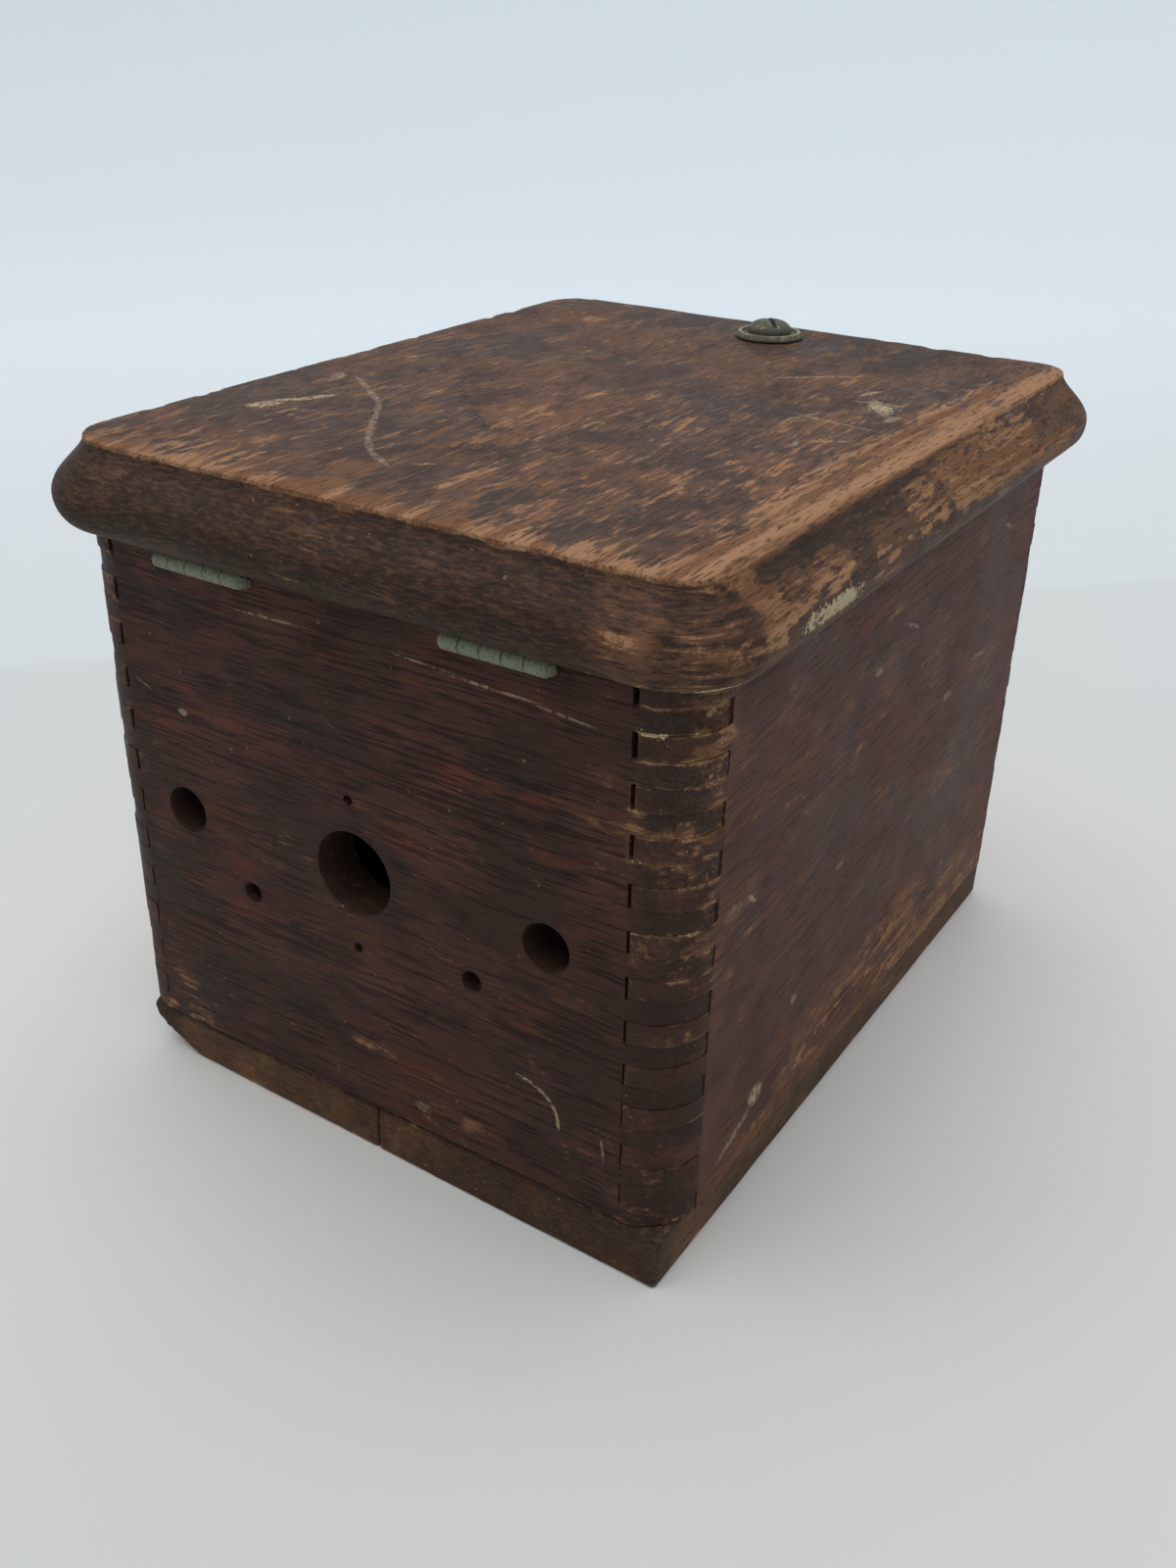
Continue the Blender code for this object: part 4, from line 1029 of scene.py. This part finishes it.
def lid_layers(obj):
    """Paints the lid: its top, the arris, the mouldings, the near corner and the lip."""
    p = points_of(obj)
    x, y, z = p.T
    h = z - LID_Z
    grain_noise = noise_at(71, x * 0.35, y * 0.03, z * 0.3)
    top = smooth(LID_T - 1.5, LID_T - 0.6, h)
    side = 1 - top
    at_right, at_front = x > HALF_W - 2, y < -HALF_D + 6
    wear = 0.16 + 0.06 * value_noise(p, 0.03, 72) + 0.14 * smooth(70, -70, y)
    # Top: the right edge rubbed to bare wood, the front edge in a thin line
    start = np.interp(y, [-119, -105, -85, -60, -20, 30, 75, 92, 119], [80, 82, 83, 80, 77, 77, 80, 86, 90])
    start += 2.4 * noise_at(73, x * 0.02, y * 0.05, 0)
    wear += 0.55 * smooth(start - 4, start + 6, x) * top
    wear += 0.4 * smooth(-110, -118.5, y + 3.0 * grain_noise) * top * smooth(-108, -60, x + 40)
    wear += 0.16 * smooth(-96, -116, y) * top + patches(p, on_lid, LID_WEAR) * top
    # Arris
    arris = smooth(1.8, 0.2, np.abs(h - (LID_T - 0.6))) * ((y < -HALF_D + 4) | (x > HALF_W - 6))
    wear += (0.2 + 0.25 * value_noise(p, (0.08, 0.08, 0), 75)) * arris
    # Right moulding, from the near corner to the far one
    on = side * at_right
    for y0, y1, h0, h1, amount in MOULDING_WEAR:
        wear += amount * span(y, y0, y1, 3, 5) * span(h, h0, h1, 1, 1.5) * on
    wear -= 0.15 * smooth(-100, -94, y) * smooth(-20, -34, y) * smooth(11, 15, h) * on
    # Near corner
    arc = smooth(84, 90, x) * smooth(-105, -111, y) * side
    bands = noise_at(74, x * 0.05, y * 0.05, h * 0.75)
    wear += (-0.03 + 0.2 * bands) * arc * smooth(2.5, 6, h)
    wear += 0.3 * smooth(-110, -104, y) * smooth(-96, -102, y) * at_right * side
    front_corner = smooth(70, 84, x) * (y < -HALF_D + 12) * side
    wear += (-0.05 + 0.2 * bands) * front_corner * smooth(5, 8, h) * smooth(18, 12, h)
    wear += 0.38 * np.exp(-(((x - 80) / 5.0) ** 2) - ((h - 11.2) / 0.9) ** 2) * (y < -HALF_D) * side
    # Pale scrapes
    pale = (0.74 + 0.2 * value_noise(p, 0.25, 78)) * smooth(-97, -86, y) * smooth(-52, -66, y)
    pale = pale * smooth(3.2, 6.0, h) * smooth(11.5, 7.8, h) * on
    pale += 0.5 * blob(p, (-71.8, -67.5, LID_TOP), (7, 9, 5), -25)
    pale += 0.3 * blob(p, (-68.5, -52, LID_TOP), (6.5, 15, 5), -25)
    pale += 0.62 * blob(p, (67, 34, LID_TOP), (12, 11, 5), -50)
    # Front moulding, kept dark
    front = at_front * side * smooth(82, 66, x)
    wear -= 0.3 * front * smooth(LID_T - 1.2, LID_T - 2.5, h)
    dirt = front * (0.6 + 0.35 * smooth(9.5, 6, h) * smooth(2.5, 4.5, h)) + 0.55 * arc * (1 - bands)
    dirt += 0.2 * smooth(0.0, 2.0, h) * smooth(4.5, 2.5, h) * side + patches(p, on_lid, LID_DIRT) * top
    # Lip: dust under the nose, densest at the very edge, where it also serves as a painted highlight
    dust = 0.4 * smooth(5.0, 2.5, h) * side
    dust += 0.55 * smooth(1.3, 0.5, h) * side * (0.6 + 0.4 * value_noise(p, 0.1, 76))
    # A thin lighter line along the lip at the near corner and on the right side: a painted highlight
    lip = smooth(1.9, 0.9, h) * smooth(0.2, 0.5, h) * side
    lip = lip * (smooth(30, 70, x) * (y < -100) + (x > HALF_W) * smooth(60, -60, y))
    pale += (0.42 + 0.2 * value_noise(p, 0.12, 77)) * lip
    # A dark line under the arris of the right side
    line = smooth(LID_T - 1.2, LID_T - 2.2, h) * smooth(LID_T - 8, LID_T - 5, h) * on * smooth(-108, -98, y)
    dirt += 0.55 * line * smooth(30, -40, y)
    wear -= 0.25 * line * smooth(0, -40, y)
    wear = np.where(h < 0.3, 0.2, wear)
    end = side * smooth(HALF_D - 12, HALF_D - 2, np.abs(y)) * smooth(HALF_W + 8, HALF_W + 1, np.abs(x))
    paint(obj, wear=wear, dirt=dirt, dust=dust, pale=pale, end=end)


def lid():
    obj = new_object("lid_oak", *lid_points(), 60)
    low, high = mm_box("cup_washer")
    bore, faces = lathe([(0, -5), (5.7, -5), (5.7, 8.6), (3.35, 8.6), (3.35, 40), (0, 40)], 40)
    middle = (low + high) / 2
    subtract(obj, [new_object("lid_bore", bore + np.array([middle[0], middle[1], LID_Z]), faces)])
    shade(obj, 60)
    lid_layers(obj)
    dress(obj, "lid", "lid_oak", OAK_LID, "lid_panel")


lid()


# ---------------------------------------------------------------- hinges and screws


LEAF_T, LEAF_GAP, KNUCKLE_GAP = 2.1, 0.15, 0.12


def knuckle(center, start, end, radius, seed, rounded=(False, False)):
    """A barrel along X, a little lumpy. rounded is for its two ends."""
    first, last = (1.0 if end_rounded else 0.25 for end_rounded in rounded)
    turns = [math.pi / 2 * k / 4 for k in range(5)]
    profile = [(0, start)]
    profile += [(radius - first * (1 - math.sin(a)), start + first * (1 - math.cos(a))) for a in turns]
    profile += [(radius, x) for x in np.linspace(start + first + 0.3, end - first - 0.3, 6)]
    profile += [(radius - last * (1 - math.sin(a)), end - last * (1 - math.cos(a))) for a in turns[::-1]]
    v, f = lathe(profile + [(0, end)], 40)
    v = np.stack([v[:, 2], v[:, 0], v[:, 1]], -1)
    r = np.maximum(np.hypot(v[:, 1], v[:, 2]), 1e-6)
    shrink = 0.05 * (1 + value_noise(v, 0.8, seed)) + 0.03 * (1 + value_noise(v, 2.2, seed + 1))
    v[:, 1:] *= ((r - shrink * smooth(0.5, 1.5, r)) / r)[:, None]
    return v + np.array([0, center[0], center[1]]), f


def hinge_leaf(name, node, body, mine, seed):
    """A leaf: its plate, cut for two screws, and those of the five knuckles that are its own, each on a web."""
    low, high = mm_box(node)
    pin_low, pin_high = mm_box(node.rsplit("_", 2)[0] + "_pin")
    wall_low, wall_high = mm_box(node.replace("_lid_", "_wall_"))
    axis = (pin_low[1:] + pin_high[1:]) / 2
    pitch = (wall_high[0] - wall_low[0]) / 5
    up = 1 if body == "lid" else -1
    z0, z1 = sorted((axis[1] + up * LEAF_GAP, axis[1] + up * (LEAF_GAP + LEAF_T)))
    corners = (low[0], -HALF_D + 0.15, z0), (high[0], high[1], z1)
    plate = new_object("plate", *rounded_block(*corners, 0.22, (2.5, 2.5, 1.0)))
    screws = node.rsplit("_", 1)[0] + "_screw_"
    subtract(plate, [screw_pocket(screws + letter, -up) for letter in "ab"])
    parts = [(points_of(plate), [tuple(face.vertices) for face in plate.data.polygons])]
    bpy.data.objects.remove(plate)
    for index in mine:
        start = wall_low[0] + index * pitch + KNUCKLE_GAP
        end = start + pitch - 2 * KNUCKLE_GAP
        parts.append(knuckle(axis, start, end, axis[0] - low[1] - 0.02, seed + index, (index == 0, index == 4)))
        web = (start + 0.15, axis[0] + 0.9, z0 + 0.02), (end - 0.15, -HALF_D + 2, z1 - 0.02)
        parts.append(rounded_block(*web, 0.15, (2.5, 1.2, 1.0)))
    return dress(new_object(name, *joined(parts), 50), body, "hinge_brass", VERDIGRIS, node)


def wood_screw(node, body, slot, material, axis, up):
    """A countersunk, slotted head and a shank in place of a CAD screw. up is as for screw_place."""
    head_r, length, place = screw_place(node, axis, up)
    shank = head_r * 0.5
    profile = [(0, 0), (head_r - 0.25, 0), (head_r - 0.07, -0.06), (head_r, -0.2)]
    cone = head_r - shank
    profile += [(shank + 0.15, -0.25 - cone), (shank, -0.5 - cone), (shank, -0.6 * length)]
    profile += [(0.35 * shank, -length + 0.05), (0, -length)]
    v, f = lathe(profile, 36)
    obj = new_object(node + "_detail", v, f, 40)
    width, depth = head_r * 0.26, head_r * 0.34
    reach = head_r * 1.4
    subtract(obj, [block_cutter((-reach, -width / 2, -depth), (reach, width / 2, 3), 0.03)])
    shade(obj, 40)
    twist = (sum(map(ord, node)) * 37) % 180
    obj.data.transform(place @ Matrix.Rotation(math.radians(twist), 4, "Z"))
    return dress(obj, body, slot, material, node)


for side in ("left", "right"):
    hinge_leaf(f"hinge_{side}_wall_brass", f"hinge_{side}_wall_leaf", "box", (0, 2, 4), 81)
    hinge_leaf(f"hinge_{side}_lid_brass", f"hinge_{side}_lid_leaf", "lid", (1, 3), 91)
    for letter in "ab":
        wood_screw(f"hinge_{side}_wall_screw_{letter}", "box", "hinge_brass", VERDIGRIS, "Z", 1)
        wood_screw(f"hinge_{side}_lid_screw_{letter}", "lid", "hinge_brass", VERDIGRIS, "Z", -1)
for number in range(1, 9):
    wood_screw(f"base_screw_{number}", "box", "old_steel", OLD_STEEL, "Z", -1)
for side in ("left", "right"):
    wood_screw(f"catch_screw_{side}", "box", "bracket_brass", OLD_BRASS, "Y", -1)


# ---------------------------------------------------------------- captive screw and washer


ROUND_STEPS = 96
THREAD_PITCH = 25.4 / 20
SLOT_W, SLOT_DEPTH, SLOT_TURN = 1.5, 2.1, -48


def cup_washer():
    low, high = mm_box("cup_washer")
    center = (low + high) / 2
    radius = (high[0] - low[0]) / 2
    top = high[2] - low[2]
    profile = [(3.7, 0.0), (3.7, 0.5), (4.3, 0.62), (radius - 3.3, 0.62), (radius - 2.9, 0.74)]
    profile.append((radius - 2.3, top - 0.75))
    for k in range(9):
        a = math.radians(160 - 140 * k / 8)
        profile.append((radius - 1.55 + 0.62 * math.cos(a), top - 0.62 + 0.62 * math.sin(a)))
    profile += [(radius - 0.62, top * 0.62), (radius - 0.25, 0.7), (radius - 0.05, 0.3), (radius - 0.2, 0.0)]
    profile.append((3.7, 0.0))
    v, f = lathe(profile, ROUND_STEPS)
    lump = 0.05 * (1 + value_noise(v, 0.5, 101)) + 0.03 * (1 + value_noise(v, 1.7, 102))
    v[:, 2] -= lump * smooth(0.5, 1.5, v[:, 2])
    obj = new_object("cup_washer_brass", v + np.array([center[0], center[1], low[2]]), f, 55)
    p = points_of(obj)
    out = np.hypot(p[:, 0] - center[0], p[:, 1] - center[1])
    angle = np.arctan2(p[:, 1] - center[1], p[:, 0] - center[0])
    # The rim's top, rubbed bright, and brighter on two opposite sides: wear with a painted highlight
    rub = smooth(top - 0.5, top - 0.1, p[:, 2] - low[2]) * smooth(radius - 2.6, radius - 2.1, out)
    paint(obj, rub=rub * (0.6 + 0.4 * np.cos(2 * (angle - 0.4))))
    return dress(obj, "lid", "cover_brass", OLD_BRASS, "cup_washer")


def cover_screw():
    low, high = mm_box("cover_screw")
    center = (low + high) / 2
    head_r = (high[0] - low[0]) / 2
    top, foot = high[2], low[2]
    seat = LID_TOP + 1.4
    thick = top - seat
    profile = [(0, top)]
    for k in range(1, 15):
        a = math.pi / 2 * k / 14
        profile.append((head_r * math.sin(a), seat + 0.26 * thick + 0.74 * thick * math.cos(a)))
    profile += [(head_r, seat + 0.2 * thick), (head_r - 0.15, seat + 0.06), (head_r - 0.4, seat), (3.0, seat)]
    # The groove for the collar, with 0.15 mm free over and under it
    collar_low, collar_high = mm_box("screw_collar")
    groove = collar_low[2] - 0.15, collar_high[2] + 0.15
    profile += [(3.0, groove[1]), (2.4, groove[1]), (2.4, groove[0]), (3.0, groove[0])]
    # Thread: ridges
    z = groove[0] - 0.15
    while z - THREAD_PITCH > foot + 1.0:
        profile += [(2.95, z - 0.1), (2.95, z - 0.3), (2.35, z - 0.68), (2.35, z - 0.9)]
        z -= THREAD_PITCH
    profile += [(2.8, z), (2.8, foot + 0.9), (2.0, foot), (0, foot)]
    v, f = lathe(profile, 72)
    v[:, 2] -= 0.04 * (1 + value_noise(v, 0.6, 111)) * (v[:, 2] > seat + 0.3)
    obj = new_object("cover_screw_brass", v, f, 50)
    cutter = block_cutter((-12, -SLOT_W / 2, top - SLOT_DEPTH), (12, SLOT_W / 2, top + 5), 0.12)
    cutter.data.transform(Matrix.Rotation(math.radians(SLOT_TURN), 4, "Z"))
    subtract(obj, [cutter])
    shade(obj, 50)
    obj.data.transform(Matrix.Translation((center[0] * MM, center[1] * MM, 0)))
    return dress(obj, "screw", "cover_brass", OLD_BRASS, "cover_screw")


cup_washer()
cover_screw()

# ---------------------------------------------------------------- CAD pieces that stay, with eased edges

for name, width, material in (
    ("hinge_left_pin", 0.08, VERDIGRIS),
    ("hinge_right_pin", 0.08, VERDIGRIS),
    ("screw_collar", 0.12, OLD_STEEL),
    ("catch_bracket", 0.25, OLD_BRASS),
):
    obj = frame["nodes"][name]
    obj.data.materials.clear()
    obj.data.materials.append(material)
    bevel = obj.modifiers.new("ease", "BEVEL")
    bevel.width = width * MM
    bevel.segments = 2
    bevel.limit_method = "ANGLE"
    bevel.angle_limit = math.radians(35)


# ---------------------------------------------------------------- stage, light and camera


def stage_floor():
    """A round floor of 1.6 m that bends up into a backdrop, in metres."""
    bends = [math.radians(90 * k / 12) for k in range(1, 13)]
    profile = [(0, 0), (0.3, 0), (0.8, 0), (1.6, 0)]
    profile += [(1.6 + math.sin(a), 1.0 - math.cos(a)) for a in bends] + [(2.6, 2.2)]
    verts, faces = lathe(profile, ROUND_STEPS)
    obj = new_object("stage_floor", verts / MM, faces, 180)
    n = Nodes("pale_paper")
    place = n.mm()
    # Painted light: past a line across the floor beyond the box, the paper turns bluer and brighter, as where a
    # sheet would bend up into a backdrop; the floor stays flat there
    across = n.vector("DOT_PRODUCT", place, (-0.728, 0.686, 0.0), "Value")
    painted_fold_light = n.times(n.step(across, 284, 300), 0.3)
    painted_fold_light = n.maths("ADD", painted_fold_light, n.step(across, 280, 1100, 0.0, 0.7))
    painted_falloff = n.step(across, -700, 290)
    span = n.vector("LENGTH", n.vector("MULTIPLY", place, (1.0, 1.0, 0.0)), output="Value")
    tone = n.step(n.noise(place, scale=0.004, detail=2.0), 0.3, 0.7)
    # Painted shade: the floor greyer and darker towards the camera
    near = n.mix(painted_falloff, rgb(203, 207, 200), rgb(209, 212, 214))
    # Painted light: the floor brighter and warmer within about 0.13 m of the middle, lifting the shade round
    # the box
    near = n.mix(n.step(span, 130, 330, 0.6, 0.0), near, rgb(238, 233, 229))
    near = n.mix(n.times(tone, 0.4), near, rgb(212, 212, 206))
    color = n.mix(painted_fold_light, near, rgb(224, 231, 237))
    # Painted shade: the backdrop darker higher up and towards +X
    height = n.vector("DOT_PRODUCT", place, (0.12, 0.0, 1.0), "Value")
    color = n.mix(n.step(height, 250, 1300, 0.0, 0.8), color, rgb(162, 178, 187))
    n.finish(color, 0.9, specular=0.1)
    obj.data.materials.append(n.material)


stage_floor()


def soft_sun(name, source, strength, spread, color):
    data = bpy.data.lights.new(name, "SUN")
    data.energy = strength
    data.angle = math.radians(spread)
    data.color = color
    obj = bpy.data.objects.new(name, data)
    obj.rotation_mode = "QUATERNION"
    obj.rotation_quaternion = Vector(source).to_track_quat("Z", "Y")
    bpy.context.scene.collection.objects.link(obj)


soft_sun("key", (-0.55, 0.4, 1.3), 1.48, 80, (1.0, 0.99, 0.97))
soft_sun("fill", (0.1, -0.85, 0.95), 1.0, 85, (1.0, 1.0, 0.99))
soft_sun("side", (1.0, 0.1, 0.75), 0.55, 80, (1.0, 0.99, 0.97))

world = bpy.data.worlds.new("studio")
world.use_nodes = True
background = world.node_tree.nodes["Background"]
background.inputs["Color"].default_value = (0.95, 0.975, 1.0, 1.0)
background.inputs["Strength"].default_value = 0.52
bpy.context.scene.world = world
bpy.context.scene.view_settings.view_transform = "Standard"


# The camera as found from the photo: place in metres, then azimuth, pitch and roll in degrees
CAMERA_AT = (0.2259, -0.3708, 0.2991)
CAMERA_TURN = (32.096, 28.223, 1.342)
LENS = 34.87


def camera():
    data = bpy.data.cameras.new("camera")
    data.sensor_fit = "AUTO"
    data.sensor_width = 36
    data.lens = LENS
    data.clip_start, data.clip_end = 0.01, 50
    obj = bpy.data.objects.new("camera", data)
    bpy.context.scene.collection.objects.link(obj)
    azimuth, pitch, roll = map(math.radians, CAMERA_TURN)
    back = Vector((math.sin(azimuth) * math.cos(pitch), -math.cos(azimuth) * math.cos(pitch), math.sin(pitch)))
    right = Vector((math.cos(azimuth), math.sin(azimuth), 0))
    up = back.cross(right)
    x = math.cos(roll) * right + math.sin(roll) * up
    y = math.cos(roll) * up - math.sin(roll) * right
    turn = Matrix((x, y, back)).transposed()
    obj.matrix_world = Matrix.Translation(CAMERA_AT) @ turn.to_4x4()
    bpy.context.scene.camera = obj


camera()
